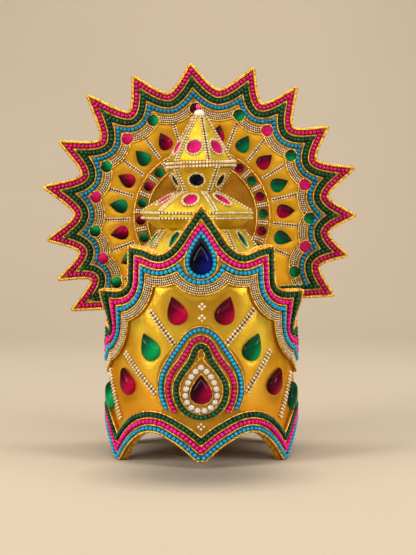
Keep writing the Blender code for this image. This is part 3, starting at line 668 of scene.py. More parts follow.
def lengths_along(points: Array) -> Array:
    """Length from the start at each point of a polyline."""
    return np.concatenate([[0.0], np.cumsum(np.linalg.norm(np.diff(points, axis=0), axis=1))])


def at_lengths(points: Array, wanted: Array) -> Array:
    """Points of a polyline at the wanted lengths."""
    lengths = lengths_along(points)
    return np.stack([np.interp(wanted, lengths, points[:, k]) for k in range(points.shape[1])], axis=1)


def evenly(points: Array, pitch: float) -> Array:
    """A polyline's points spaced evenly, at about a pitch, both ends kept.

    Args:
        points: The polyline.
        pitch: Wanted distance between points.

    Returns:
        The points.
    """
    total = lengths_along(points)[-1]
    count = max(1, round(total / pitch))
    return at_lengths(points, np.linspace(0.0, total, count + 1))


def densified(points: Array, pitch: float) -> Array:
    """A polyline with points added so that none is further than a pitch from the next.

    Args:
        points: The polyline.
        pitch: Greatest distance between points.

    Returns:
        The points.
    """
    parts = []
    for a, b in zip(points, points[1:]):
        count = max(1, math.ceil(float(np.linalg.norm(b - a)) / pitch))
        parts.append(a + (b - a) * (np.arange(count) / count)[:, None])
    return np.concatenate([*parts, points[-1:]])


def mirrored(points: Array) -> Array:
    """A half line that starts on the middle, continued to its mirror image on the left.

    Args:
        points: The half line, from the middle outwards.

    Returns:
        The whole line, left to right.
    """
    left = points[::-1].copy()
    left[:, 0] *= -1.0
    return np.concatenate([left[:-1], points])


def corners_of(points: Array) -> list[int]:
    """Indices of the sharp corners of a polyline, ends included.

    Args:
        points: The polyline.

    Returns:
        The indices, in order.
    """
    least_deg, reach = 42.0, 0.0016
    lengths = lengths_along(points)
    before = at_lengths(points, lengths - reach)
    after = at_lengths(points, lengths + reach)
    into, outof = points - before, after - points
    norms = np.linalg.norm(into, axis=1) * np.linalg.norm(outof, axis=1) + 1e-12
    turn = np.degrees(np.arccos(np.clip(np.sum(into * outof, axis=1) / norms, -1.0, 1.0)))
    found = [0]
    for k in np.flatnonzero(turn[1:-1] >= least_deg) + 1:
        near = np.abs(lengths - lengths[k]) < 2 * reach
        if turn[k] >= turn[near].max() - 1e-9:
            if lengths[k] - lengths[found[-1]] > 2 * reach and lengths[-1] - lengths[k] > 2 * reach:
                found.append(int(k))
    return [*found, len(points) - 1]


def bead_places(points: Array, pitch: float, closed: bool = False) -> Array:
    """Places of beads strung along a polyline, with one at each sharp corner.

    Args:
        points: The line.
        pitch: Wanted distance between beads.
        closed: True if the line's end is its start, which then gets one bead.

    Returns:
        The beads' places.
    """
    marks = corners_of(points)
    places = []
    for first, last in zip(marks, marks[1:]):
        places.append(evenly(points[first : last + 1], pitch)[:-1])
    if not closed:
        places.append(points[-1:])
    return np.concatenate(places)


def inset(edge: Array, distance: float, side: int = 1) -> Array:
    """The line that keeps a distance from an edge, with its corners closed.

    Args:
        edge: Points of the edge.
        distance: How far the line lies from it.
        side: 1 for the right of the edge's direction, -1 for the left.

    Returns:
        The line's points in the edge's order.
    """
    pitch = 0.0005
    edge = densified(edge, pitch)
    way = np.diff(edge, axis=0)
    heading = np.unwrap(np.arctan2(way[:, 1], way[:, 0]))
    turn = np.diff(heading)
    steps = np.maximum(1, np.rint(np.abs(turn) * distance / pitch))
    fan = np.where(side * turn > 0.02, steps, 1).astype(int)
    index = np.repeat(np.arange(1, len(edge) - 1), fan)
    share = np.concatenate([(np.arange(n) + 0.5) / n for n in fan])
    facing = heading[index - 1] + turn[index - 1] * share
    facing = np.concatenate([heading[:1], facing, heading[-1:]]) - side * 0.5 * math.pi
    starts = np.concatenate([edge[:1], edge[index], edge[-1:]])
    line = starts + distance * np.stack([np.cos(facing), np.sin(facing)], axis=1)
    return line[nearest(line, edge) > distance - 0.00004]


def nearest(points: Array, marks: Array) -> Array:
    """Distance from each point to the nearest mark.

    Args:
        points: Points to measure from.
        marks: Points to measure to.

    Returns:
        The distances.
    """
    tree = KDTree(len(marks))
    for number, (x, y) in enumerate(marks.tolist()):
        tree.insert((x, y, 0.0), number)
    tree.balance()
    return np.array([tree.find((x, y, 0.0))[2] for x, y in points.tolist()])


def drop_outline(width: float, length: float, sides: int, sharpness: float = 1.1) -> Array:
    """Outline of a drop, clockwise from its tip at the top, first point repeated at the end.

    Args:
        width: Greatest width.
        length: Length from tip to foot.
        sides: Number of sides.
        sharpness: How sharply it narrows to its tip.

    Returns:
        The outline.
    """
    angles = np.linspace(0.0, 2 * math.pi, sides + 1)
    across = np.sin(angles) * np.sin(angles / 2) ** sharpness
    half = np.linspace(0.0, math.pi, 181)
    widest = (np.sin(half) * np.sin(half / 2) ** sharpness).max()
    return np.stack([width / 2 * across / widest, length / 2 * np.cos(angles)], axis=1)


def turned(points: Array, degrees: float) -> Array:
    """Plane points turned clockwise."""
    c, s = math.cos(math.radians(degrees)), math.sin(math.radians(degrees))
    return np.stack([points[:, 0] * c + points[:, 1] * s, points[:, 1] * c - points[:, 0] * s], axis=1)


# Pieces


def finish_piece(mesh: Mesh, name: str, slot: Slot, stands_for: Sequence[str] = ()) -> Piece:
    """Puts a mesh into the scene as a piece of the crown.

    Args:
        mesh: The piece's mesh, in the crown's own frame.
        name: Name of the piece.
        slot: Its slot in the record; not used.
        stands_for: CAD nodes that the piece replaces.

    Returns:
        The piece.
    """
    piece = bpy.data.objects.new(name, mesh)
    bpy.context.scene.collection.objects.link(piece)
    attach(piece, ROOT)
    if stands_for:
        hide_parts(*stands_for)
    return piece


def sheet_mesh(name: str, places: Array, material: Material, uv: Optional[Array] = None) -> Mesh:
    """A mesh from a table of points.

    Args:
        name: Name of the mesh.
        places: Points by column and row; columns run clockwise seen from outside, rows outward or up.
        material: Its material.
        uv: Coordinates by column and row, if wanted.

    Returns:
        The mesh, shaded smooth, with points that fall together merged.
    """
    columns, rows = places.shape[0], places.shape[1]
    form = bmesh.new()
    layer = form.loops.layers.uv.new("UVMap") if uv is not None else None
    table = [[form.verts.new(places[i, j]) for j in range(rows)] for i in range(columns)]
    for i in range(columns - 1):
        for j in range(rows - 1):
            cells = ((i, j), (i + 1, j), (i + 1, j + 1), (i, j + 1))
            face = form.faces.new([table[a][b] for a, b in cells])
            face.smooth = True
            if layer is not None:
                for loop, (a, b) in zip(face.loops, cells):
                    loop[layer].uv = uv[a, b]
    bmesh.ops.remove_doubles(form, verts=form.verts, dist=MERGE_GAP)
    mesh = bpy.data.meshes.new(name)
    form.to_mesh(mesh)
    form.free()
    mesh.materials.append(material)
    return mesh


def join_meshes(name: str, meshes: Sequence[Mesh]) -> Mesh:
    """One mesh from several that share a material list of one.

    Args:
        name: Name of the new mesh.
        meshes: The meshes, which are used up.

    Returns:
        The new mesh.
    """
    form = bmesh.new()
    for mesh in meshes:
        form.from_mesh(mesh)
    joined = bpy.data.meshes.new(name)
    form.to_mesh(joined)
    form.free()
    joined.materials.append(meshes[0].materials[0])
    for mesh in meshes:
        bpy.data.meshes.remove(mesh)
    return joined


class NodesPiece:
    """Base of pieces that Geometry Nodes grow from a guide mesh."""

    @staticmethod
    def end_tree(tree: Tree, geometry: Socket, material: Socket) -> None:
        """Ends a node group: instances become real, faces smooth, and all takes the material.

        Args:
            tree: The group.
            geometry: What has been made so far.
            material: The group's material input.
        """
        real = add_node(tree, "GeometryNodeRealizeInstances", {"Geometry": geometry}).outputs["Geometry"]
        smooth = add_node(tree, "GeometryNodeSetShadeSmooth", {"Geometry": real}).outputs["Geometry"]
        paint = add_node(tree, "GeometryNodeSetMaterial", {"Geometry": smooth, "Material": material})
        add_node(tree, "NodeGroupOutput", {"Geometry": paint.outputs["Geometry"]})

    @staticmethod
    def grow(guide: Mesh, tree: Tree, inputs: dict[str, object], name: str) -> Mesh:
        """Runs a node group on a guide mesh.

        Args:
            guide: Points or lines to grow from.
            tree: The Geometry Nodes group.
            inputs: Values by the name of the group's input.
            name: Name of the new mesh.

        Returns:
            The grown mesh.
        """
        holder = bpy.data.objects.new(name + "_guide", guide)
        bpy.context.scene.collection.objects.link(holder)
        run = holder.modifiers.new("grow", "NODES")
        run.node_group = tree
        for item in tree.interface.items_tree:
            if item.item_type == "SOCKET" and item.in_out == "INPUT" and item.name in inputs:
                run[item.identifier] = inputs[item.name]
        bpy.context.view_layer.update()
        graph = bpy.context.evaluated_depsgraph_get()
        mesh = bpy.data.meshes.new_from_object(holder.evaluated_get(graph))
        mesh.name = name
        holder.modifiers.remove(run)
        bpy.data.objects.remove(holder, do_unlink=True)
        return mesh


class BeadRows(NodesPiece):
    """Beads strung on rows: one piece of many like beads."""

    SIZE_SPREAD = 0.04
    SEED_RANGE = 97

    def __init__(self, name: str, finish: BeadFinish, radius: float, segments: int, rings: int) -> None:
        """Keeps the beads' finish and size.

        Args:
            name: Name of the piece.
            finish: The beads' finish.
            radius: Radius of a bead.
            segments: Sides round a bead.
            rings: Steps from a bead's top to its foot.
        """
        self.name = name
        self.finish = finish
        self.radius = radius
        self.segments = segments
        self.rings = rings
        self.places: list[Array] = []
        self.facing: list[Array] = []

    @classmethod
    @cache
    def tree(cls) -> Tree:
        """The node group that sets a bead on each guide point, made on first use.

        Returns:
            The group.
        """
        sockets = (
            ("Geometry", "Geometry", None),
            ("Bead Radius", "Float", 0.0019),
            ("Segments", "Int", 8),
            ("Rings", "Int", 5),
            ("Size Spread", "Float", 0.05),
            ("Seed", "Int", 3),
            ("Material", "Material", None),
        )
        tree = node_group("bead_rows", "GeometryNodeTree", sockets, (("Geometry", "Geometry"),))
        start = add_node(tree, "NodeGroupInput").outputs
        size = {"Segments": start["Segments"], "Rings": start["Rings"], "Radius": start["Bead Radius"]}
        ball = add_node(tree, "GeometryNodeMeshUVSphere", size)
        way = add_node(tree, "GeometryNodeInputNamedAttribute", {"Name": "facing"}, data_type="FLOAT_VECTOR")
        turn = {"Vector": way.outputs["Attribute"]}
        align = add_node(tree, "FunctionNodeAlignRotationToVector", turn, axis="Z")
        spread = add_node(tree, "FunctionNodeRandomValue", {"Seed": start["Seed"]}, data_type="FLOAT")
        limits = by_identifier(spread.inputs)
        for limit, operation in (("Min_001", "SUBTRACT"), ("Max_001", "ADD")):
            tree.links.new(worked_out(tree, operation, 1.0, start["Size Spread"]), limits[limit])
        tone = add_node(tree, "FunctionNodeRandomValue", data_type="FLOAT")
        strung = {
            "Points": start["Geometry"],
            "Instance": ball.outputs["Mesh"],
            "Rotation": align.outputs["Rotation"],
            "Scale": by_identifier(spread.outputs)["Value_001"],
        }
        beads = add_node(tree, "GeometryNodeInstanceOnPoints", strung).outputs["Instances"]
        marks = {"Geometry": beads, "Name": "tone", "Value": by_identifier(tone.outputs)["Value_001"]}
        store = add_node(
            tree, "GeometryNodeStoreNamedAttribute", marks, data_type="FLOAT", domain="INSTANCE"
        )
        cls.end_tree(tree, store.outputs["Geometry"], start["Material"])
        return tree

    def add(self, chart: Chart, flat: Array, lift: float) -> None:
        """Adds beads at places of a chart, their middles lifted off it."""
        self.add_solid(chart.lifted(flat, lift), chart.normals(flat[:, 0], flat[:, 1]))

    def add_solid(self, places: Array, facing: Array) -> None:
        """Adds beads at places in space."""
        self.places.append(places)
        self.facing.append(facing)

    def build(self, slot: Slot) -> Piece:
        """The piece with all the beads added so far.

        Args:
            slot: Its slot in the record.

        Returns:
            The piece.
        """
        places = np.concatenate(self.places)
        facing = np.concatenate(self.facing)
        guide = bpy.data.meshes.new(self.name)
        guide.from_pydata([tuple(p) for p in places], [], [])
        way = guide.attributes.new("facing", "FLOAT_VECTOR", "POINT")
        way.data.foreach_set("vector", facing.astype(np.float32).ravel())
        inputs = {
            "Bead Radius": self.radius,
            "Segments": self.segments,
            "Rings": self.rings,
            "Size Spread": self.SIZE_SPREAD,
            "Seed": len(places) % self.SEED_RANGE,
            "Material": Look.of(self.finish),
        }
        mesh = self.grow(guide, self.tree(), inputs, self.name)
        LOG.info("%s: %d beads", self.name, len(places))
        return finish_piece(mesh, self.name, slot)


class CordLines(NodesPiece):
    """Two-ply twisted cord laid along lines: one piece of many runs."""

    FLATNESS = 0.58
    SIDES = 6
    LINE_PITCH = 0.0012

    def __init__(
        self, name: str, finish: CordFinish, radius: float, lay: float = 0.0040, step: float = 0.00066
    ) -> None:
        """Keeps the cord's finish, radius, length of one turn and step.

        Args:
            name: Name of the piece.
            finish: The cord's finish.
            radius: Radius of the cord.
            lay: Length of one whole twist.
            step: Distance between its sections.
        """
        self.name = name
        self.finish = finish
        self.radius = radius
        self.lay = lay
        self.step = step
        self.runs: list[Array] = []

    @classmethod
    @cache
    def tree(cls) -> Tree:
        """The node group that twists a flattened round along each guide line, made on first use.

        Returns:
            The group.
        """
        sockets = (
            ("Geometry", "Geometry", None),
            ("Cord Radius", "Float", 0.0008),
            ("Lay Length", "Float", 0.004),
            ("Step", "Float", 0.0007),
            ("Flatness", "Float", 0.58),
            ("Material", "Material", None),
        )
        tree = node_group("twisted_cord", "GeometryNodeTree", sockets, (("Geometry", "Geometry"),))
        start = add_node(tree, "NodeGroupInput").outputs
        line = add_node(tree, "GeometryNodeMeshToCurve", {"Mesh": start["Geometry"]}).outputs["Curve"]
        pieces = {"Curve": line, "Length": start["Step"]}
        even = add_node(tree, "GeometryNodeResampleCurve", pieces, mode="LENGTH").outputs["Curve"]
        along = add_node(tree, "GeometryNodeSplineParameter").outputs["Length"]
        turns = worked_out(tree, "DIVIDE", along, start["Lay Length"])
        angle = worked_out(tree, "MULTIPLY", turns, 2 * math.pi)
        twisted = add_node(tree, "GeometryNodeSetCurveTilt", {"Curve": even, "Tilt": angle}).outputs["Curve"]
        size = {"Resolution": cls.SIDES, "Radius": start["Cord Radius"]}
        circle = add_node(tree, "GeometryNodeCurvePrimitiveCircle", size).outputs["Curve"]
        flattened = {"X": 1.0, "Y": start["Flatness"], "Z": 1.0}
        scale = add_node(tree, "ShaderNodeCombineXYZ", flattened).outputs["Vector"]
        section = add_node(tree, "GeometryNodeTransform", {"Geometry": circle, "Scale": scale})
        swept = {"Curve": twisted, "Profile Curve": section.outputs["Geometry"], "Fill Caps": True}
        cord = add_node(tree, "GeometryNodeCurveToMesh", swept).outputs["Mesh"]
        cls.end_tree(tree, cord, start["Material"])
        return tree

    def add(self, chart: Chart, flat: Array, lift: float) -> None:
        """Adds a run along a line of a chart, its middle lifted off it."""
        self.runs.append(chart.lifted(evenly(flat, self.LINE_PITCH), lift))

    def add_solid(self, points: Array) -> None:
        """Adds a run along a line in space."""
        self.runs.append(points)

    def build(self, slot: Slot) -> Piece:
        """The piece with all the runs added so far.

        Args:
            slot: Its slot in the record.

        Returns:
            The piece.
        """
        points, edges = [], []
        for run in self.runs:
            base = len(points)
            points.extend(tuple(p) for p in run)
            edges.extend((base + k, base + k + 1) for k in range(len(run) - 1))
        guide = bpy.data.meshes.new(self.name)
        guide.from_pydata(points, edges, [])
        inputs = {
            "Cord Radius": self.radius,
            "Lay Length": self.lay,
            "Step": self.step,
            "Flatness": self.FLATNESS,
            "Material": Look.of(self.finish),
        }
        mesh = self.grow(guide, self.tree(), inputs, self.name)
        LOG.info("%s: %d runs", self.name, len(self.runs))
        return finish_piece(mesh, self.name, slot)


def ribbon_mesh(
    name: str, chart: Chart, flat: Array, width: float, lift: float, material: Material
) -> Mesh:
    """A flat ribbon along a line of a chart.

    Args:
        name: Name of the mesh.
        chart: The surface below.
        flat: The line.
        width: Width of the ribbon.
        lift: How far the ribbon lies off the surface.
        material: Its material.

    Returns:
        The mesh.
    """
    line = evenly(flat, RIM_PITCH)
    way = np.gradient(line, axis=0)
    way /= np.linalg.norm(way, axis=1, keepdims=True) + 1e-12
    across = np.stack([way[:, 1], -way[:, 0]], axis=1) * width / 2
    places = [chart.lifted(line + side * across, lift) for side in (1.0, 0.0, -1.0)]
    return sheet_mesh(name, np.stack(places, axis=1), material)


@dataclass(frozen=True)
class Row:
    """One row of a border: what it is, how far from the edge it lies, and its size."""

    kind: Kind
    distance: float
    size: float


@dataclass(frozen=True)
class Bar:
    """Two rows of pearls side by side, half_gap off their middle line, over a dark strip: dark thread, and
    painted shade between the pearls.
    """

    pearl: float = 0.00112
    half_gap: float = 0.00125
    pitch: float = 0.0025
    threads: Kind = Kind.PEARL
    width: float = 0.0046


class Cabochon:
    """A domed stone, smooth, with UV across it from 0 to 1."""

    # Columns: share of the outline, share of the rise
    RINGS = ((0.0, 1.0), (0.22, 0.985), (0.45, 0.93), (0.66, 0.81), (0.82, 0.62), (0.93, 0.38), (1.0, 0.12))
    FOOT = ((1.0, -0.25), (0.0, -0.25))

    @classmethod
    def mesh(cls, name: str, outline: Array, rise: float, spot: Spot, finish: Finish) -> Mesh:
        """A stone's mesh.

        Args:
            name: Name of the mesh.
            outline: Plane outline, clockwise, closed.
            rise: Height of the dome.
            spot: Turns arrays of right, up and out into places.
            finish: The stone's finish.

        Returns:
            The mesh.
        """
        rows = []
        coords = []
        reach = np.abs(outline).max(axis=0)
        for share, lift in (*cls.RINGS, *cls.FOOT):
            ring = outline * share
            rows.append(spot(ring[:, 0], ring[:, 1], np.full(len(ring), rise * lift)))
            coords.append(0.5 + 0.5 * ring / reach)
        return sheet_mesh(name, np.stack(rows, axis=1), Look.of(finish), np.stack(coords, axis=1))


def band_spot(arc: float, height: float, seat: float) -> Spot:
    """A spot on the band, seat off its outer face."""
    return lambda right, up, out: BAND.place(arc + right, height + up, seat + out)


def disc_spot(angle_deg: float, radius: float, seat: float) -> Spot:
    """A spot on the disc, whose up points away from the disc's centre.

    Args:
        angle_deg: Angle from the top, clockwise.
        radius: Distance from the disc's centre.
        seat: Lift off the disc's face.

    Returns:
        The spot.
    """
    a = math.radians(angle_deg)
    s, c = math.sin(a), math.cos(a)
    return lambda right, up, out: DISC.place(
        right * c + (radius + up) * s, (radius + up) * c - right * s, seat + out
    )


class Edges:
    """The band's upper and lower edges and the lines that its trim keeps to."""

    # Columns: azimuth in degrees, height as a share of the front's height, True at a corner
    TOP = (
        (0.0, 1.000, True), (9.0, 0.915, False), (17.5, 0.836, False), (25.0, 0.810, False),
        (36.0, 0.829, False), (47.6, 0.840, True), (48.0, 0.750, False), (49.0, 0.690, False),
        (54.0, 0.668, False), (66.0, 0.670, True), (67.2, 0.580, False), (69.0, 0.527, False),
        (73.5, 0.508, False), (81.5, 0.545, True), (82.2, 0.505, False), (86.0, 0.462, False),
        (98.0, 0.445, False), (113.0, 0.485, True), (130.0, 0.440, False), (147.0, 0.485, True),
        (163.5, 0.440, False), (180.0, 0.485, True),
    )
    ARCH_COUNT = 6
    ARCH_HEIGHT = 0.0325
    FOOT_WIDTH = 0.0076
    FRONT_LIFT = 0.0068
    FRONT_LIFT_REACH = 0.030
    HALF = math.pi * BandChart.RADIUS
    OVERLAP = 0.045

    @classmethod
    def top_half(cls) -> Array:
        """The top edge from the front to the middle of the back.

        Returns:
            The half line.
        """
        knots = [(BandChart.RADIUS * math.radians(a), h * BandChart.FRONT_HEIGHT) for a, h, _ in cls.TOP]
        marks = [k for k, row in enumerate(cls.TOP) if row[2]]
        runs = [smooth_run(knots[a : b + 1], 24) for a, b in zip(marks, marks[1:])]
        return np.concatenate([runs[0]] + [run[1:] for run in runs[1:]])

    @classmethod
    def foot_heights(cls, arcs: Array) -> Array:
        """Height of the lower edge at arcs: arches between flat feet, lifted at the front.

        Args:
            arcs: Arcs from the front.

        Returns:
            The heights.
        """
        around = cls.HALF * 2
        arcs = (arcs + cls.HALF) % around - cls.HALF
        angle = np.abs(arcs) / BandChart.RADIUS
        flat = math.sin(0.25 * cls.ARCH_COUNT * cls.FOOT_WIDTH / BandChart.RADIUS)
        arch = np.clip(np.abs(np.sin(0.5 * cls.ARCH_COUNT * angle)) - flat, 0.0, None) / (1.0 - flat)
        lift = cls.FRONT_LIFT * np.clip(1.0 - np.abs(arcs) / cls.FRONT_LIFT_REACH, 0.0, None)
        return cls.ARCH_HEIGHT * arch + lift

    @classmethod
    def unrolled(cls, half: Array) -> Array:
        """A half line continued to both sides and past the back by the overlap.

        Args:
            half: The half line, from the front outwards.

        Returns:
            The longer line.
        """
        whole = mirrored(half)
        before = whole[whole[:, 0] > cls.HALF - cls.OVERLAP] - (2 * cls.HALF, 0.0)
        after = whole[whole[:, 0] < cls.OVERLAP - cls.HALF] + (2 * cls.HALF, 0.0)
        return np.concatenate([before[:-1], whole, after[1:]])

    @classmethod
    def clipped(cls, line: Array) -> Array:
        """The part of an unrolled line that goes once round, with its ends on the back.

        Args:
            line: The unrolled line.

        Returns:
            The line, left to right.
        """
        ends = []
        for side in (-1.0, 1.0):
            k = int(np.argmin(np.abs(line[:, 0] - side * cls.HALF)))
            ends.append((side * cls.HALF, line[k, 1]))
        inside = line[np.abs(line[:, 0]) < cls.HALF - 0.0003]
        height = (ends[0][1] + ends[1][1]) / 2
        return np.concatenate([[(-cls.HALF, height)], inside, [(cls.HALF, height)]])

    @classmethod
    def below_top(cls, distance: float) -> Array:
        """The line that keeps a distance from the top edge, once round."""
        edge = cls.unrolled(cls.top_half())
        return cls.clipped(inset(edge, distance, 1))

    @classmethod
    def above_foot(cls, distance: float) -> Array:
        """The line that keeps a distance from the lower edge, once round.

        Args:
            distance: How far the line lies from the edge.

        Returns:
            The line, left to right.
        """
        arcs = np.arange(-cls.HALF - cls.OVERLAP, cls.HALF + cls.OVERLAP, 0.0004)
        edge = np.stack([arcs, cls.foot_heights(arcs)], axis=1)
        if distance == 0.0:
            return cls.clipped(edge)
        return cls.clipped(inset(edge, distance, -1))


@dataclass
class TopBorder:
    """The beaded border along the band's top edge, with the loop of the blue drop."""

    centre_height: float = 0.1950
    inner_distance: float = 0.0309
    inner_radius: float = 0.0330
    # The rows this far in dip round the drop, on circles no smaller than the least
    dip_distance: float = 0.018
    dip_half_width: float = 0.045
    least_radius: float = 0.0213
    rows: tuple[Row, ...] = (
        Row(Kind.PIPING, 0.0011, 0.00145),
        Row(Kind.GREEN, 0.0050, 0.00200),
        Row(Kind.CORD, 0.0083, 0.00095),
        Row(Kind.MAGENTA, 0.0117, 0.00205),
        Row(Kind.CORD, 0.0151, 0.00095),
        Row(Kind.TURQUOISE, 0.0185, 0.00205),
        Row(Kind.CORD, 0.0219, 0.00095),
        Row(Kind.PEARL, 0.0243, 0.00090),
        Row(Kind.PEARL, 0.0264, 0.00090),
        Row(Kind.PEARL, 0.0285, 0.00090),
        Row(Kind.CORD, 0.0307, 0.00110),
    )
    lines: dict[float, Array] = field(default_factory=dict)

    def __post_init__(self) -> None:
        """Works out the line of each row."""
        self.lines = {row.distance: self.line(row.distance) for row in self.rows}

    def line(self, distance: float) -> Array:
        """A row's line: it keeps its distance from the edge, and the inner rows dip round the blue drop.

        Args:
            distance: How far the line lies from the edge.

        Returns:
            The line, left to right.
        """
        line = Edges.below_top(distance)
        if distance < self.dip_distance:
            return line
        radius = max(self.least_radius, self.inner_radius - (self.inner_distance - distance))
        centre = np.array((0.0, self.centre_height))
        away = np.linalg.norm(line - centre, axis=1)
        close = (np.abs(line[:, 0]) < self.dip_half_width) & (away < radius + 0.0005)
        left = int(np.flatnonzero(close & (line[:, 0] < 0.0))[0])
        right = int(np.flatnonzero(close & (line[:, 0] > 0.0))[-1])
        start, end = line[left], line[right]
        a0 = math.atan2(start[0] - centre[0], centre[1] - start[1])
        a1 = math.atan2(end[0] - centre[0], centre[1] - end[1])
        angles = np.linspace(a0, a1, 60)[1:-1]
        dip = centre + radius * np.stack([np.sin(angles), -np.cos(angles)], axis=1)
        return np.concatenate([line[: left + 1], dip, line[right:]])


class Trim:
    """Collects the rows of the whole crown by kind, and builds one piece for each place and kind."""

    # Shares of a row's size: pitch of its beads, lift of its beads and cords, and width of the dark strip
    # below, which is dark thread and painted shade
    BEAD_PITCH = 2.08
    PEARL_PITCH = 2.34
    BEAD_LIFT = 0.78
    CORD_LIFT = 0.6
    THREAD_AND_SHADE_WIDTH = 2.2
    THREAD_AND_SHADE_LIFT = 0.00008
    # The beads touch: they are a little larger than their row says
    FULLNESS = 1.06
    # Finish of each kind of cord, and distance between its sections
    CORD_LOOKS = {Kind.PIPING: (Look.PIPING, 0.0008), Kind.CORD: (Look.CORD, 0.00066)}

    def __init__(self, place: str, shades: Optional[dict[Kind, BeadFinish]] = None) -> None:
        """Starts the trim of one place, such as top_border, with its own shades of bead if given.

        Args:
            place: Where the trim lies.
            shades: Its own bead finishes, if any.
        """
        self.place = place
        self.finishes = {**Look.BEADS, **(shades or {})}
        self.beads: dict[Kind, BeadRows] = {}
        self.cords: dict[Kind, CordLines] = {}
        self.ribbons: dict[Kind, list[Mesh]] = {}

    def rows_of(self, kind: Kind, radius: float) -> BeadRows:
        """The beads of a kind.

        Args:
            kind: What the beads are.
            radius: Radius of a bead.

        Returns:
            The rows, started on first use.
        """
        if kind not in self.beads:
            beads = kind in Look.BEADS
            name = f"{self.place}_{kind.value}" + ("_beads" if beads else "s")
            finish = self.finishes.get(kind, Look.PEARL)
            segments, rings = (8, 5) if beads else (6, 4)
            full = self.FULLNESS * radius if beads else radius
            self.beads[kind] = BeadRows(name, finish, full, segments, rings)
        return self.beads[kind]

    def cords_of(self, kind: Kind, radius: float) -> CordLines:
        """The cords of a kind.

        Args:
            kind: What the cords are.
            radius: Radius of a cord.

        Returns:
            The cords, started on first use.
        """
        if kind not in self.cords:
            finish, step = self.CORD_LOOKS[kind]
            self.cords[kind] = CordLines(f"{self.place}_{kind.value}s", finish, radius, step=step)
        return self.cords[kind]

    def lay(self, row: Row, chart: Chart, line: Array, base: float, closed: bool = False) -> None:
        """Lays one row.

        Args:
            row: What to lay.
            chart: The surface below.
            line: The row's line.
            base: How far the face that it lies on is off the chart.
            closed: True if the line closes on itself.
        """
        if row.kind in self.CORD_LOOKS:
            self.cords_of(row.kind, row.size).add(chart, line, base + self.CORD_LIFT * row.size)
            return
        pitch = self.PEARL_PITCH if row.kind is Kind.PEARL else self.BEAD_PITCH
        flat = bead_places(line, pitch * row.size, closed)
        self.rows_of(row.kind, row.size).add(chart, flat, base + self.BEAD_LIFT * row.size)
        self.back(row.kind, chart, line, self.THREAD_AND_SHADE_WIDTH * row.size, base)

    def cord(self, radius: float, chart: Chart, line: Array, base: float) -> None:
        """Lays one run of cord."""
        self.lay(Row(Kind.CORD, 0.0, radius), chart, line, base)

    def bar(self, bar: Bar, chart: Chart, line: Array, lift: float, base: float) -> None:
        """Lays two rows of pearls astride a straight line.

        Args:
            bar: The pearls and the dark strip below them, thread and painted shade.
            chart: The surface below.
            line: The line.
            lift: How far the pearls' middles are off the chart.
            base: How far the face that they lie on is off the chart.
        """
        way = line[-1] - line[0]
        way /= np.linalg.norm(way)
        aside = np.array((way[1], -way[0]))
        for side in (-bar.half_gap, bar.half_gap):
            flat = evenly(line + side * aside, bar.pitch)
            self.rows_of(Kind.PEARL, bar.pearl).add(chart, flat, lift)
        self.back(bar.threads, chart, line, bar.width, base)

    def back(self, kind: Kind, chart: Chart, line: Array, width: float, base: float) -> None:
        """Lays the dark strip that shows between the beads of a row: dark thread and painted shade.

        Args:
            kind: What the row above is.
            chart: The surface below.
            line: The row's line.
            width: Width of the strip.
            base: How far the face that they lie on is off the chart.
        """
        shade = Look.of(Look.SHADE[kind])
        under = ribbon_mesh("under", chart, line, width, base + self.THREAD_AND_SHADE_LIFT, shade)
        self.ribbons.setdefault(kind, []).append(under)

    def build(self) -> None:
        """Builds the pieces."""
        for rows in self.beads.values():
            rows.build(Slot.PEARL if rows.finish is Look.PEARL else Slot.BEADS)
        for cords in self.cords.values():
            cords.build(Slot.BEADS)
        # The dark strips under the rows: dark thread and painted shade
        for kind, meshes in self.ribbons.items():
            name = f"{self.place}_{kind.value}_threads"
            finish_piece(join_meshes(name, meshes), name, Slot.BEADS)


class Camera:
    """The camera at the photograph's angle."""

    LENS = 91.8
    SENSOR = 36.0
    DISTANCE = 1.400
    HEIGHT = 0.254
    PITCH_DEG = 3.3
    SIDE = 0.00643

    def build(self) -> None:
        """Makes the camera and gives it to the scene."""
        data = bpy.data.cameras.new("photo_camera")
        data.lens = self.LENS
        data.sensor_width = self.SENSOR
        data.clip_start = 0.05
        data.clip_end = 30.0
        camera = bpy.data.objects.new("photo_camera", data)
        camera.location = (self.SIDE, -self.DISTANCE, self.HEIGHT)
        camera.rotation_euler = (math.radians(90.0 - self.PITCH_DEG), 0.0, 0.0)
        bpy.context.scene.collection.objects.link(camera)
        bpy.context.scene.camera = camera


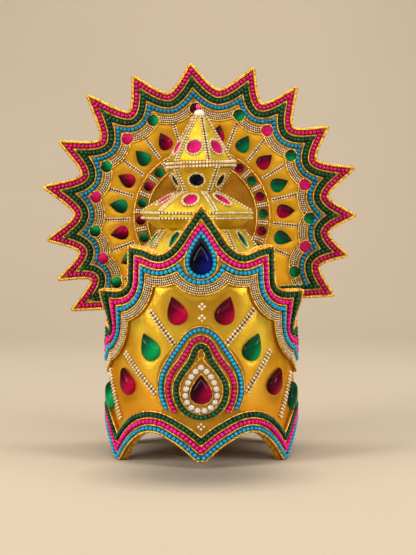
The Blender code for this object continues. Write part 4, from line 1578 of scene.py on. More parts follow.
class Patch:
    """A layer on a chart: one region of it, triangulated, with a front, a back and walls between them."""

    def __init__(self, chart: Chart, loops: Sequence[Array], pitch: float) -> None:
        """Triangulates the region inside the first loop and outside the others.

        Args:
            chart: The surface that carries the layer.
            loops: Closed loops of plane points, without a repeated end.
            pitch: Distance between the points inside.
        """
        self.chart = chart
        low, high = loops[0].min(axis=0), loops[0].max(axis=0)
        rows = np.arange(low[1], high[1], pitch * 0.866)
        grid = []
        for k, height in enumerate(rows):
            across = np.arange(low[0] + 0.5 * pitch * (k % 2), high[0], pitch)
            grid.append(np.stack([across, np.full(len(across), height)], axis=1))
        fill = np.concatenate(grid)
        edges = np.concatenate(loops)
        keep = nearest(fill, edges) > 0.55 * pitch
        fill = fill[keep]
        fill = fill[self.covered(fill, loops)]
        points = np.concatenate([edges, fill])
        ties, base = [], 0
        for loop in loops:
            count = len(loop)
            ties.extend((base + k, base + (k + 1) % count) for k in range(count))
            base += count
        cut = delaunay_2d_cdt([Vector(p) for p in points], ties, [], 0, 1e-7)
        self.flat = np.array([(v.x, v.y) for v in cut[0]])
        faces = np.array([f for f in cut[2] if len(f) == 3])
        middles = self.flat[faces].mean(axis=1)
        faces = faces[self.covered(middles, loops)]
        a, b, c = (self.flat[faces[:, k]] for k in range(3))
        turn = (b[:, 0] - a[:, 0]) * (c[:, 1] - a[:, 1]) - (b[:, 1] - a[:, 1]) * (c[:, 0] - a[:, 0])
        faces[turn < 0] = faces[turn < 0][:, ::-1]
        self.faces = faces[np.abs(turn) > 1e-12]

    @staticmethod
    def covered(points: Array, loops: Sequence[Array]) -> Array:
        """True for points inside the first loop and outside the others.

        Args:
            points: Points to test.
            loops: The outer loop, then the holes.

        Returns:
            One truth value for each point.
        """
        found = inside(points, loops[0])
        for loop in loops[1:]:
            found &= ~inside(points, loop)
        return found

    def rim(self) -> list[tuple[int, int]]:
        """Edges with one face, in that face's direction.

        Returns:
            Pairs of point numbers.
        """
        seen = {}
        for face in self.faces:
            for k in range(3):
                pair = (int(face[k]), int(face[(k + 1) % 3]))
                seen[pair] = True
        return [pair for pair in seen if (pair[1], pair[0]) not in seen]

    def mesh(
        self,
        name: str,
        front: Callable[[Array, Array], Array],
        back: float,
        materials: Sequence[Material],
        seam: Optional[float] = None,
    ) -> Mesh:
        """The layer's mesh.

        Args:
            name: Name of the mesh.
            front: Lift of the front at arrays of places.
            back: Lift of the back.
            materials: The front's material, and the material of the walls and the back if it isn't the same.
            seam: Where the region closes on itself round the crown, if it does; no wall is made there.

        Returns:
            The mesh.
        """
        s, t = self.flat[:, 0], self.flat[:, 1]
        face = self.chart.place(s, t, front(s, t))
        rear = self.chart.place(s, t, np.full(len(s), back))
        count = len(s)
        corners = [tuple(f) for f in self.faces.tolist()]
        behind = [(c + count, b + count, a + count) for a, b, c in corners]
        walls = []
        for a, b in self.rim():
            on_seam = seam is not None and min(abs(s[a]), abs(s[b])) > seam - 0.00002
            if not on_seam:
                walls.append((a, a + count, b + count, b))
        mesh = bpy.data.meshes.new(name)
        mesh.from_pydata(np.concatenate([face, rear]).tolist(), [], corners + behind + walls)
        for material in materials:
            mesh.materials.append(material)
        marks = np.zeros(len(mesh.polygons), np.int32)
        if len(materials) > 1:
            marks[len(corners) :] = 1
        mesh.polygons.foreach_set("material_index", marks)
        form = bmesh.new()
        form.from_mesh(mesh)
        bmesh.ops.remove_doubles(form, verts=form.verts, dist=MERGE_GAP)
        form.to_mesh(mesh)
        form.free()
        mesh.shade_smooth()
        mesh.set_sharp_from_angle(angle=math.radians(50.0))
        return mesh


def inside(points: Array, loop: Array) -> Array:
    """True for points inside a closed loop.

    Args:
        points: Points to test.
        loop: The loop, without a repeated end.

    Returns:
        One truth value for each point.
    """
    found = np.zeros(len(points), bool)
    x, y = points[:, 0], points[:, 1]
    for (ax, ay), (bx, by) in zip(loop, np.roll(loop, -1, axis=0)):
        crosses = (ay > y) != (by > y)
        if not crosses.any():
            continue
        at = ax + (y - ay) * (bx - ax) / (by - ay + 1e-18)
        found ^= crosses & (x < at)
    return found


def thinned(line: Array, pitch: float) -> Array:
    """A line with fewer points: its corners, and evenly spaced points between them.

    Args:
        line: The line.
        pitch: Wanted distance between points.

    Returns:
        The points that are left.
    """
    marks = corners_of(line)
    runs = [evenly(line[a : b + 1], pitch)[:-1] for a, b in zip(marks, marks[1:])]
    return np.concatenate([*runs, line[-1:]])


class Padding:
    """Padding under cloth: it swells between seams and lies flat on them and outside the open ground."""

    def __init__(
        self, seams: Array, depth: float, reach: float, open_ground: Callable[[Array], Array]
    ) -> None:
        """Starts the padding.

        Args:
            seams: Points where the cloth is sewn down.
            depth: How far it swells.
            reach: How far from a seam it is full.
            open_ground: True at the places where it may swell.
        """
        self.seams = seams
        self.depth = depth
        self.reach = reach
        self.open_ground = open_ground

    def lift(self, s: Array, t: Array) -> Array:
        """Lift of the cloth at places.

        Args:
            s: First lengths.
            t: Second lengths.

        Returns:
            The lifts.
        """
        points = np.stack([s, t], axis=1)
        share = np.clip(nearest(points, self.seams) / self.reach, 0.0, 1.0)
        return np.where(self.open_ground(points), self.depth * np.sin(0.5 * math.pi * share), 0.0)


def pressed(outline: Array) -> Array:
    """Points that cover the inside of an outline, where a stone presses the cloth down."""
    return np.concatenate([outline * share for share in (0.12, 0.3, 0.48, 0.66, 0.84, 1.0)])


@dataclass
class BottomBorder:
    """The beaded border along the feet and arches."""

    width: float = 0.0200
    floor_gap: float = 0.0002
    rows: tuple[Row, ...] = (
        Row(Kind.PIPING, 0.0006, 0.00150),
        Row(Kind.TURQUOISE, 0.0036, 0.00195),
        Row(Kind.CORD, 0.0067, 0.00088),
        Row(Kind.MAGENTA, 0.0100, 0.00200),
        Row(Kind.CORD, 0.0132, 0.00088),
        Row(Kind.GREEN, 0.0164, 0.00200),
        Row(Kind.CORD, 0.0195, 0.00095),
    )
    lines: dict[float, Array] = field(default_factory=dict)

    def __post_init__(self) -> None:
        """Works out the line of each row, which stays clear of the floor at the feet."""
        for row in self.rows:
            line = Edges.above_foot(row.distance)
            line[:, 1] = np.maximum(line[:, 1], row.size + self.floor_gap)
            self.lines[row.distance] = line

    def plate(self) -> Mesh:
        """The stiff layer under the rows.

        Returns:
            The mesh.
        """
        low = thinned(Edges.above_foot(0.0004), EDGE_PITCH)
        high = thinned(Edges.above_foot(self.width), EDGE_PITCH)
        return band_layer("bottom_border", low, high, BORDER_FACE)


def band_loop(low: Array, high: Array) -> Array:
    """Closed loop of the region between two lines that go once round the band.

    Args:
        low: The lower line, left to right.
        high: The upper line, left to right.

    Returns:
        The loop, without a repeated end.
    """
    half = Edges.HALF
    rise = max(2, round((high[-1, 1] - low[-1, 1]) / 0.0022))
    column = np.linspace(low[-1, 1], high[-1, 1], rise + 1)[1:-1]
    right = np.stack([np.full(len(column), half), column], axis=1)
    left = np.stack([np.full(len(column), -half), column[::-1]], axis=1)
    return np.concatenate([low, right, high[::-1], left])


def stiff_layer(
    name: str,
    chart: Chart,
    loops: Sequence[Array],
    face: float,
    finish: ClothFinish,
    back: float = SEAT_GAP,
    pitch: float = FILL_PITCH,
    seam: Optional[float] = None,
) -> Mesh:
    """A flat layer on a chart.

    Args:
        name: Name of the mesh.
        chart: The surface that carries the layer.
        loops: Its outer loop, then its holes.
        face: How far its face lies off the surface.
        finish: What it is made of.
        back: How far its back lies off the surface.
        pitch: Distance between the points inside.
        seam: Where it closes on itself round the crown, if it does.

    Returns:
        The mesh.
    """
    patch = Patch(chart, loops, pitch)
    return patch.mesh(name, lambda s, t: np.full(len(s), face), back, [Look.of(finish)], seam)


def band_layer(name: str, low: Array, high: Array, face: float) -> Mesh:
    """A stiff layer on the band between two lines that go once round."""
    return stiff_layer(name, BAND, [band_loop(low, high)], face, Look.BACKING, seam=Edges.HALF)


@dataclass
class Medallion:
    """The raised teardrop at the foot of the front: three bead rows, white stones and the red drop."""

    half_width: float = 0.0424
    height: float = 0.0800
    base: float = 0.0545
    face: float = 0.0022
    drop_height: float = 0.0745
    drop_size: tuple[float, float] = (0.0196, 0.0275)
    white_count: int = 17
    white_radius: float = 0.00285
    white_clearance: float = 0.0043
    white_tip_clearance: float = 0.0066
    layer_pitch: float = 0.0024
    # Half its outline from the top. Columns: share of the half width, share of the height
    edge: Pairs = (
        (0.00, 1.00), (0.24, 0.965), (0.42, 0.86), (0.66, 0.71), (0.86, 0.58),
        (0.98, 0.43), (1.00, 0.29), (0.96, 0.13), (0.88, 0.02),
    )
    # Half lines from the top, in millimetres: right and up
    turquoise: Pairs = (
        (0.0, 130.3), (7.6, 127.8), (14.1, 122.5), (19.3, 115.1), (24.9, 107.0),
        (30.6, 97.8), (35.7, 88.4), (38.0, 77.6), (37.4, 67.0), (33.3, 56.5),
    )
    magenta: Pairs = (
        (0.0, 122.3), (5.6, 120.1), (10.1, 115.4), (13.6, 108.7), (18.9, 100.4),
        (25.6, 92.0), (30.2, 83.6), (31.6, 73.3), (29.9, 62.8), (25.4, 53.6),
    )
    green: Pairs = (
        (0.0, 114.9), (4.2, 112.6), (6.6, 107.6), (9.3, 101.0), (14.7, 93.6), (20.2, 86.0),
        (23.6, 79.0), (24.3, 71.6), (22.7, 63.2), (17.6, 55.4), (9.6, 49.9), (0.0, 47.6),
    )
    inner: Pairs = (
        (0.0, 104.4), (3.8, 99.9), (9.8, 94.0), (15.8, 86.9), (19.9, 79.0),
        (20.4, 72.0), (18.4, 63.6), (11.0, 54.9), (0.0, 51.3),
    )
    inner_width: float = 0.95
    # Columns: kind, share of its line's width, bead radius, distance of the cord beyond it, True if it closes
    bead_rows: tuple[tuple[Kind, float, float, float, bool], ...] = (
        (Kind.TURQUOISE, 0.98, 0.00192, 0.0034, False),
        (Kind.MAGENTA, 0.96, 0.00188, 0.0033, False),
        (Kind.GREEN, 0.945, 0.00192, 0.0031, True),
    )
    # The cords end above the lower border
    cord_floor: float = 0.0503
    # Cord radii: beside the bead rows, inside them, of the small loop at the top, and round the drop
    cord_radii: tuple[float, float, float, float] = (0.00080, 0.00085, 0.00060, 0.00050)
    # The small loop at the top: its width, length and height of its middle
    top_loop: Place = (0.0062, 0.0100, 0.1069)
    # How much wider and longer the cord round the drop is than the drop
    drop_cord_room: tuple[float, float] = (0.0012, 0.0016)
    facets: int = 8
    # Rings of a white stone. Columns: share of its radius, height
    white_rings: Pairs = ((0.56, 0.0024), (1.0, 0.0012), (1.0, 0.0))

    def half(self, table: Sequence[tuple[float, float]], steps: int = 12) -> Array:
        """A smooth half line from a table in millimetres."""
        return smooth_run([(x / 1000.0, y / 1000.0) for x, y in table], steps)

    def outline(self) -> Array:
        """The medallion's own outline from the top down to the lower border, on the right."""
        points = [(x * self.half_width, self.base + y * self.height) for x, y in self.edge]
        return smooth_run(points, 8)

    def loop(self) -> Array:
        """Closed loop of the medallion, whose lower side runs along the lower border.

        Returns:
            The loop, without a repeated end.
        """
        half = self.outline()
        floor = Edges.above_foot(0.0203)
        floor = floor[np.abs(floor[:, 0]) < self.half_width]
        right = half[half[:, 1] > np.interp(half[:, 0], floor[:, 0], floor[:, 1]) + 0.0004]
        last = right[-1, 0]
        below = thinned(floor[np.abs(floor[:, 0]) < last - 0.0006], 0.0014)
        over = mirrored(evenly(right, 0.0014))
        return np.concatenate([over[::-1], below])

    def white_places(self) -> Array:
        """Middles of the white stones, evenly spaced round the drop.

        Returns:
            The places, from the drop's middle.
        """
        width = self.drop_size[0] + 2 * self.white_clearance
        length = self.drop_size[1] + 2 * self.white_tip_clearance
        ring = drop_outline(width, length, 180, 0.6)
        total = lengths_along(ring)[-1]
        return at_lengths(ring, np.arange(self.white_count) * total / self.white_count)

    def white_stones(self) -> Mesh:
        """The white stones, each cut with a table, eight crown facets and a short wall.

        Returns:
            One mesh of them all.
        """
        form = bmesh.new()
        sides = self.facets
        for number, (x, y) in enumerate(self.white_places()):
            spot = band_spot(float(x), self.drop_height + float(y), self.face)
            angles = 0.7 * number + np.arange(sides) * 2 * math.pi / sides
            rings = []
            for share, lift in self.white_rings:
                r = self.white_radius * share
                a = -(angles + (math.pi / sides if share < 1.0 else 0.0))
                places = spot(r * np.sin(a), r * np.cos(a), np.full(sides, lift))
                rings.append([form.verts.new(p) for p in places])
            table, girdle, foot = rings
            form.faces.new(table)
            form.faces.new(foot[::-1])
            for k in range(sides):
                n = (k + 1) % sides
                form.faces.new((table[n], table[k], girdle[n]))
                form.faces.new((girdle[k], girdle[n], table[k]))
                form.faces.new((girdle[n], girdle[k], foot[k], foot[n]))
        bmesh.ops.recalc_face_normals(form, faces=form.faces)
        mesh = bpy.data.meshes.new("white_stones")
        form.to_mesh(mesh)
        form.free()
        mesh.materials.append(Look.of(Look.WHITE))
        return mesh

    def dress(self, trim: Trim) -> None:
        """Lays the medallion's rows.

        Args:
            trim: The trim that gains the rows.
        """
        beside, within, small, close = self.cord_radii
        for kind, narrowing, size, beyond, closed in self.bead_rows:
            half = self.half(getattr(self, kind.value)) * (narrowing, 1.0)
            trim.lay(Row(kind, 0.0, size), BAND, mirrored(half), self.face, closed)
            cord = mirrored(inset(half, beyond, -1))
            trim.cord(beside, BAND, cord[cord[:, 1] > self.cord_floor], self.face)
        inner = mirrored(self.half(self.inner) * (self.inner_width, 1.0))
        trim.cord(within, BAND, inner, self.face)
        width, length, middle = self.top_loop
        trim.cord(small, BAND, drop_outline(width, length, 40, 0.5) + (0.0, middle), self.face)
        width, length = (size + room for size, room in zip(self.drop_size, self.drop_cord_room))
        around = drop_outline(width, length, 80) + (0.0, self.drop_height)
        trim.cord(close, BAND, around, self.face)


@dataclass(frozen=True)
class BandDrop:
    """A drop on the band: its node's name, azimuth, height, outward lean, finish and slot."""

    node: str
    azimuth: float
    height: float
    lean: float
    finish: StoneFinish
    slot: Slot


@dataclass
class Band:
    """The padded wall with its borders, medallion, drops and pearl spokes."""

    thickness: float = 0.0068
    puff: float = 0.0008
    puff_reach: float = 0.0110
    drop_width: float = 0.0196
    drop_length: float = 0.0275
    drop_rise: float = 0.0062
    # Columns: start arc and height, end arc and height, in millimetres
    spokes: tuple[tuple[float, float, float, float], ...] = (
        (-49.2, 146.0, -23.4, 114.0), (-81.5, 104.4, -44.5, 69.5), (-119.0, 84.5, -91.5, 41.0),
        (51.8, 147.5, 23.8, 116.5), (71.5, 107.5, 44.6, 71.0), (112.0, 82.0, 88.5, 43.0),
    )
    diamonds: Pairs = ((0.9, 151.4), (0.9, 140.6), (0.0, 39.4))
    spoke: Bar = Bar(0.00152, 0.00158, 0.0034, Kind.SPOKE, 0.0048)
    spoke_lift: float = 0.0012
    # The ring of beads round the blue drop: width, length, height of its middle, and its cord's upper end
    centre_ring: tuple[float, float, float, float] = (0.0242, 0.0402, 0.1994, 0.2120)
    ring_bead: float = 0.00190
    ring_cord: float = 0.00080
    ring_cord_distance: float = 0.0030
    bed_face: float = 0.00212
    rim_depths: tuple[float, ...] = (0.0009, 0.0026, 0.0043, 0.0060)
    top: TopBorder = field(default_factory=TopBorder)
    bottom: BottomBorder = field(default_factory=BottomBorder)
    medallion: Medallion = field(default_factory=Medallion)

    def drops(self) -> list[BandDrop]:
        """The drops on the band, in mirrored pairs.

        Returns:
            The drops.
        """
        table = (
            ("ruby_drop_upper", 14.8, 0.596, 18.0, Look.RUBY, Slot.RUBY),
            ("emerald_drop_middle", 32.4, 0.455, 25.0, Look.EMERALD, Slot.EMERALD),
            ("ruby_drop_lower", 50.9, 0.314, 28.0, Look.RUBY, Slot.RUBY),
            ("emerald_drop_side", 75.2, 0.242, 28.0, Look.EMERALD, Slot.EMERALD),
        )
        found = []
        for name, azimuth, share, lean, finish, slot in table:
            for side, sign in (("left", -1.0), ("right", 1.0)):
                height = share * BandChart.FRONT_HEIGHT
                found.append(BandDrop(f"{name}_{side}", sign * azimuth, height, sign * lean, finish, slot))
        return found

    def stone(self, drop: BandDrop, seat: float, longer: float = 0.0) -> Piece:
        """One drop as a smooth cabochon, its tip drawn out if it is longer than the others.

        Args:
            drop: Which drop.
            seat: Lift off the band's face.
            longer: Extra length at the tip.

        Returns:
            The piece.
        """
        outline = turned(drop_outline(self.drop_width, self.drop_length + longer, 44), drop.lean)
        outline[:, 1] += longer / 2
        arc = BandChart.RADIUS * math.radians(drop.azimuth)
        spot = band_spot(arc, drop.height, seat)
        mesh = Cabochon.mesh(drop.node, outline, self.drop_rise, spot, drop.finish)
        return finish_piece(mesh, f"dressed_{drop.node}", drop.slot, (drop.node,))

    def seams(self) -> Array:
        """Points where the ground is sewn or pressed down.

        Returns:
            The points.
        """
        marks = [
            self.top.lines[self.top.rows[-1].distance],
            Edges.above_foot(self.bottom.width),
            mirrored(self.medallion.outline()),
        ]
        for x0, y0, x1, y1 in self.spokes:
            marks.append(evenly(np.array(((x0, y0), (x1, y1))) / 1000.0, 0.001))
        marks.extend(np.array([place]) / 1000.0 for place in self.diamonds)
        for drop in self.drops():
            outline = turned(drop_outline(self.drop_width, self.drop_length, 60), drop.lean)
            middle = (BandChart.RADIUS * math.radians(drop.azimuth), drop.height)
            marks.append(pressed(outline) + middle)
        return np.concatenate(marks)

    def open_ground(self, points: Array) -> Array:
        """True where the padded ground shows between the borders, beside the medallion.

        Args:
            points: Points to test.

        Returns:
            One truth value for each point.
        """
        high = self.top.lines[self.top.rows[-1].distance]
        low = Edges.above_foot(self.bottom.width)
        loop = np.concatenate([low, high[::-1]])
        return inside(points, loop) & ~inside(points, self.medallion.loop())

    def build(self) -> None:
        """Builds the band and all that lies on it."""
        low = thinned(Edges.above_foot(0.0), RIM_PITCH)
        high = thinned(Edges.clipped(Edges.unrolled(Edges.top_half())), RIM_PITCH)
        patch = Patch(BAND, [band_loop(low, high)], 0.0019)
        padding = Padding(self.seams(), self.puff, self.puff_reach, self.open_ground)
        looks = [Look.of(Look.GROUND), Look.of(Look.LINING)]
        mesh = patch.mesh("padded_band", padding.lift, -self.thickness, looks, Edges.HALF)
        ground = finish_piece(mesh, "padded_band", Slot.CLOTH, ("band",))
        LOG.info("padded_band: %d faces", len(mesh.polygons))
        self.plates()
        self.trims()
        for drop in self.drops():
            self.stone(drop, SEAT_GAP)
        height = self.top.centre_height
        centre = BandDrop("sapphire_drop", 0.0, height, 0.0, Look.SAPPHIRE, Slot.SAPPHIRE)
        self.stone(centre, BORDER_FACE + SEAT_GAP, 0.0030)
        height = self.medallion.drop_height
        heart = BandDrop("ruby_drop_medallion", 0.0, height, 0.0, Look.WINE, Slot.RUBY)
        self.stone(heart, self.medallion.face + SEAT_GAP)
        LOG.info("band: dressed")

    def plates(self) -> None:
        """The stiff layers under the borders and the medallion."""
        edge = thinned(Edges.below_top(0.0004), EDGE_PITCH)
        line = thinned(self.top.line(0.0315), EDGE_PITCH)
        mesh = band_layer("top_border_plate", line, edge, BORDER_FACE)
        finish_piece(mesh, "top_border_plate", Slot.BEADS, ("top_border",))
        finish_piece(self.bottom.plate(), "bottom_border_plate", Slot.BEADS, ("bottom_border",))
        shape = self.medallion
        mesh = stiff_layer(
            "medallion_plate", BAND, [shape.loop()], shape.face, Look.BACKING, pitch=shape.layer_pitch
        )
        finish_piece(mesh, "medallion_plate", Slot.BEADS, ("medallion",))
        finish_piece(self.medallion.white_stones(), "white_stones", Slot.PEARL)

    def trims(self) -> None:
        """The rows of beads, pearls and cords."""
        trim = Trim("top_border")
        for row in self.top.rows:
            trim.lay(row, BAND, self.top.lines[row.distance], BORDER_FACE)
        width, length, height, end = self.centre_ring
        ring = drop_outline(width, length, 120, 0.95) + (0.0, height)
        trim.lay(Row(Kind.TURQUOISE, 0.0, self.ring_bead), BAND, ring, BORDER_FACE, True)
        rim = inset(ring, self.ring_cord_distance, -1)
        trim.cord(self.ring_cord, BAND, rim[rim[:, 1] < end], BORDER_FACE)
        trim.build()
        pitch = self.medallion.layer_pitch
        mesh = stiff_layer("sapphire_bed", BAND, [ring[:-1]], self.bed_face, Look.BED, BORDER_FACE, pitch)
        finish_piece(mesh, "sapphire_bed", Slot.BEADS)

        trim = Trim("bottom_border")
        for row in self.bottom.rows:
            trim.lay(row, BAND, self.bottom.lines[row.distance], BORDER_FACE)
        trim.build()

        trim = Trim("medallion", {Kind.MAGENTA: Look.CRIMSON})
        self.medallion.dress(trim)
        trim.build()

        trim = Trim("band")
        for x0, y0, x1, y1 in self.spokes:
            line = np.array(((x0, y0), (x1, y1))) / 1000.0
            trim.bar(self.spoke, BAND, line, self.spoke_lift, 0.0001)
        around = np.array(((0, 2.3), (2.3, 0), (0, -2.3), (-2.3, 0))) / 1000.0
        for x, y in self.diamonds:
            lift = 0.0030 if y < 45.0 else 0.0010
            trim.rows_of(Kind.PEARL, self.spoke.pearl).add(BAND, around + (x / 1000.0, y / 1000.0), lift)
        trim.build()
        self.wrap_rims()

    def wrap_rims(self) -> None:
        """Gold thread wound over the wall's upper and lower rims."""
        threads = CordLines("rim_threads", Look.PIPING, 0.00085, 0.0064, 0.0016)
        top = thinned(Edges.clipped(Edges.unrolled(Edges.top_half())), 0.0022)
        foot = thinned(Edges.above_foot(0.0), 0.0022)
        for line in (top, foot):
            for depth in self.rim_depths:
                places = BAND.lifted(line, -depth)
                places[:, 2] = np.maximum(places[:, 2], 0.0009)
                threads.add_solid(places)
        threads.build(Slot.CLOTH)


class DiscEdge:
    """The sunburst's edge and the lines inside it, on the disc's chart."""

    CUSP_ANGLES = (0.0, 23.5, 40.4, 58.8, 76.0, 94.1, 109.4, 124.0)
    # Columns: angle of the tip, clockwise from the top, and its reach
    TIPS = (
        (-122.2, 0.1700), (-110.2, 0.1665), (-95.1, 0.1652), (-75.8, 0.1700), (-58.8, 0.1696),
        (-39.8, 0.1752), (-22.7, 0.1642), (-0.9, 0.1605), (22.6, 0.1650), (39.6, 0.1685),
        (57.9, 0.1632), (75.6, 0.1688), (92.8, 0.1622), (108.2, 0.1590), (124.2, 0.1625),
    )
    VALLEY_SHARE = 0.815
    POWER = 1.75
    BLUNTNESS = 0.055
    STEPS = 44

    @classmethod
    def cusps(cls) -> list[float]:
        """Angles of the round stones below the tips, clockwise from the last one on the left."""
        return [-a for a in reversed(cls.CUSP_ANGLES[1:])] + list(cls.CUSP_ANGLES)

    @classmethod
    def chord(cls) -> float:
        """Height of the straight lower side from the disc's centre, which is negative."""
        return DiscChart.TIP_RADIUS * math.cos(math.radians(cls.CUSP_ANGLES[-1]))

    @classmethod
    def scallops(cls) -> Array:
        """The scalloped edge from the lower left tip to the lower right one.

        Returns:
            The edge's points.
        """
        valley = cls.VALLEY_SHARE * DiscChart.TIP_RADIUS
        places = []
        for (first, near), (last, far) in zip(cls.TIPS, cls.TIPS[1:]):
            for k in range(cls.STEPS):
                share = k / cls.STEPS
                angle = math.radians(first + (last - first) * share)
                tip = near if share < 0.5 else far
                away = math.hypot(1.0 - abs(2 * share - 1), cls.BLUNTNESS) - cls.BLUNTNESS
                radius = valley + (tip - valley) * (1.0 - away) ** cls.POWER
                places.append((radius * math.sin(angle), radius * math.cos(angle)))
        end, tip = math.radians(cls.TIPS[-1][0]), cls.TIPS[-1][1]
        places.append((tip * math.sin(end), tip * math.cos(end)))
        return np.array(places)

    @classmethod
    def whole(cls) -> Array:
        """The whole edge, clockwise from the middle of the lower side and back to it.

        Returns:
            The edge's points.
        """
        edge = cls.scallops()
        chord = cls.chord()
        left = np.linspace((0.0, chord), edge[0], 90)[:-1]
        right = np.linspace(edge[-1], (0.0, chord), 90)[1:]
        return np.concatenate([left, edge, right])


@dataclass
class Disc:
    """The sunburst disc: padded panels, the scalloped border, the ring of stones and the drops."""

    border: float = 0.0330
    chord_border: float = 0.0150
    plate_lift: float = 0.0019
    ring_outer: float = 0.0722
    ring_lift: float = 0.0013
    ring_stones: int = 22
    ring_turn: float = 8.5
    ring_stone_radius: float = 0.0050
    cusp_radius: float = 0.0058
    cusp_place: float = 0.1137
    drop_place: float = 0.0890
    drop_length: float = 0.0195
    drop_width: float = 0.0150
    drop_pitch: float = 18.7
    drop_turn: float = -4.2
    drop_half_count: int = 6
    # Rise of the stones: on the ring, in the cusps, and the drops
    ring_stone_rise: float = 0.0024
    cusp_rise: float = 0.0030
    drop_rise: float = 0.0046
    puff: float = 0.0007
    puff_reach: float = 0.0080
    # Cord radii: along the ends of the border, round the stones in the cusps, and along the ring
    end_cord: float = 0.00072
    end_cord_distance: float = 0.0143
    cusp_cord: float = 0.00065
    ring_cord: float = 0.00085
    wedge_bead: float = 0.00185
    # Spacing of the green beads in a tip, and the least room that takes them
    wedge_pitch: float = 0.0038
    wedge_room: float = 0.0062
    # The pearl bars and where they start and end on the panels and on the ring
    bar: Bar = Bar()
    bar_lift: float = 0.0009
    panel_bar: tuple[float, float] = (0.0765, 0.1052)
    ring_bar: tuple[float, float] = (0.0605, 0.0695)
    rows: tuple[Row, ...] = (
        Row(Kind.PIPING, 0.0010, 0.00205),
        Row(Kind.MAGENTA, 0.0049, 0.00195),
        Row(Kind.CORD, 0.0082, 0.00092),
        Row(Kind.GREEN, 0.0120, 0.00195),
        Row(Kind.CORD, 0.0157, 0.00092),
        Row(Kind.TURQUOISE, 0.0193, 0.00195),
        Row(Kind.CORD, 0.0228, 0.00092),
        Row(Kind.PEARL, 0.0257, 0.00089),
        Row(Kind.PEARL, 0.0278, 0.00089),
        Row(Kind.PEARL, 0.0299, 0.00089),
        Row(Kind.CORD, 0.0322, 0.00090),
    )

    def border_line(self, distance: float) -> Array:
        """A row's line: round the whole edge for the outer rows, round the scallops for the inner ones.

        Args:
            distance: How far the line lies from the edge.

        Returns:
            The line, clockwise.
        """
        if distance < self.chord_border:
            return inset(DiscEdge.whole(), distance, 1)
        line = inset(DiscEdge.scallops(), distance, 1)
        floor = DiscEdge.chord() + self.chord_border - 0.0004
        return line[line[:, 1] > floor]

    def spoke_angles(self) -> list[float]:
        """Angles of the pearl bars between the drops."""
        count = self.drop_half_count
        return [self.drop_turn + (k + 0.5) * self.drop_pitch for k in range(-count - 1, count + 1)]

    def drops(self) -> list[tuple[int, float]]:
        """Number and angle of each drop, clockwise."""
        count = self.drop_half_count
        return [(k, self.drop_turn + k * self.drop_pitch) for k in range(-count, count + 1)]

    def inner_loop(self) -> Array:
        """Closed loop inside the border.

        Returns:
            The loop, without a repeated end.
        """
        line = thinned(self.border_line(self.border), EDGE_PITCH)
        floor = DiscEdge.chord() + self.chord_border
        ends = line[[-1, 0], 0]
        floor_line = np.linspace((ends[0], floor), (ends[1], floor), 60)
        line = line[line[:, 1] > floor + 0.0006]
        return np.concatenate([line, floor_line])

    def seams(self) -> Array:
        """Points where the panels are sewn or pressed down.

        Returns:
            The points.
        """
        marks = [self.inner_loop()]
        circle = np.linspace(0.0, 2 * math.pi, 400)
        for radius in (DiscChart.HUB_RADIUS, self.ring_outer):
            marks.append(np.stack([radius * np.sin(circle), radius * np.cos(circle)], axis=1))
        for angle in self.spoke_angles():
            marks.append(radial(angle, self.ring_outer, 0.1060))
        outline = drop_outline(self.drop_width, self.drop_length, 48)
        for _, angle in self.drops():
            middle = spot_on_ray(angle, self.drop_place)
            marks.append(turned(pressed(outline), angle) + middle)
        return np.concatenate(marks)

    def open_ground(self, points: Array) -> Array:
        """True where the padded panels show."""
        radius = np.hypot(points[:, 0], points[:, 1])
        return inside(points, self.inner_loop()) & (radius > self.ring_outer)

    def build(self) -> None:
        """Builds the disc and all that lies on it."""
        edge = thinned(DiscEdge.whole(), RIM_PITCH)[:-1]
        patch = Patch(DISC, [edge], 0.0022)
        padding = Padding(self.seams(), self.puff, self.puff_reach, self.open_ground)
        looks = [Look.of(Look.PANEL), Look.of(Look.LINING)]
        mesh = patch.mesh("padded_disc", padding.lift, -DiscChart.THICKNESS, looks)
        ground = finish_piece(mesh, "padded_disc", Slot.CLOTH, ("disc",))
        LOG.info("padded_disc: %d faces", len(mesh.polygons))

        rim = thinned(inset(DiscEdge.whole(), 0.0004, 1), EDGE_PITCH)[:-1]
        loops = [rim, self.inner_loop()]
        mesh = stiff_layer("disc_border_plate", DISC, loops, self.plate_lift, Look.BACKING)
        finish_piece(mesh, "disc_border_plate", Slot.BEADS, ("disc_border",))
        self.dress_border()
        self.dress_panels()
        self.dress_ring()
        self.stones()
        LOG.info("disc: dressed")

    def dress_border(self) -> None:
        """Lays the rows of the border."""
        trim = Trim("disc_border", {Kind.MAGENTA: Look.CRIMSON, Kind.TURQUOISE: Look.TEAL})
        cusps = np.concatenate([spot_on_ray(angle, self.cusp_place) for angle in DiscEdge.cusps()])
        for row in self.rows:
            line = self.border_line(row.distance)
            closed = row.distance < self.chord_border
            if row.kind is Kind.PEARL:
                flat = bead_places(line, 2.36 * row.size)
                flat = flat[nearest(flat, cusps) > self.cusp_radius + row.size + 0.0004]
                trim.rows_of(Kind.PEARL, row.size).add(DISC, flat, self.plate_lift + 0.75 * row.size)
                trim.back(Kind.PEARL, DISC, line, 2.2 * row.size, self.plate_lift)
            else:
                trim.lay(row, DISC, line, self.plate_lift, closed)
        trim.back(Kind.GREEN, DISC, self.border_line(0.0120), 0.0056, self.plate_lift - 0.00003)
        self.wedge_beads(trim)
        ends = inset(DiscEdge.whole(), self.end_cord_distance, 1)
        ends = ends[ends[:, 1] < DiscEdge.chord() + self.chord_border]
        trim.cord(self.end_cord, DISC, ends[np.argsort(ends[:, 0])], self.plate_lift)
        for place in cusps:
            around = circle_at(place, self.cusp_radius + 0.0008, 48)
            trim.cord(self.cusp_cord, DISC, around, self.plate_lift)
        trim.build()

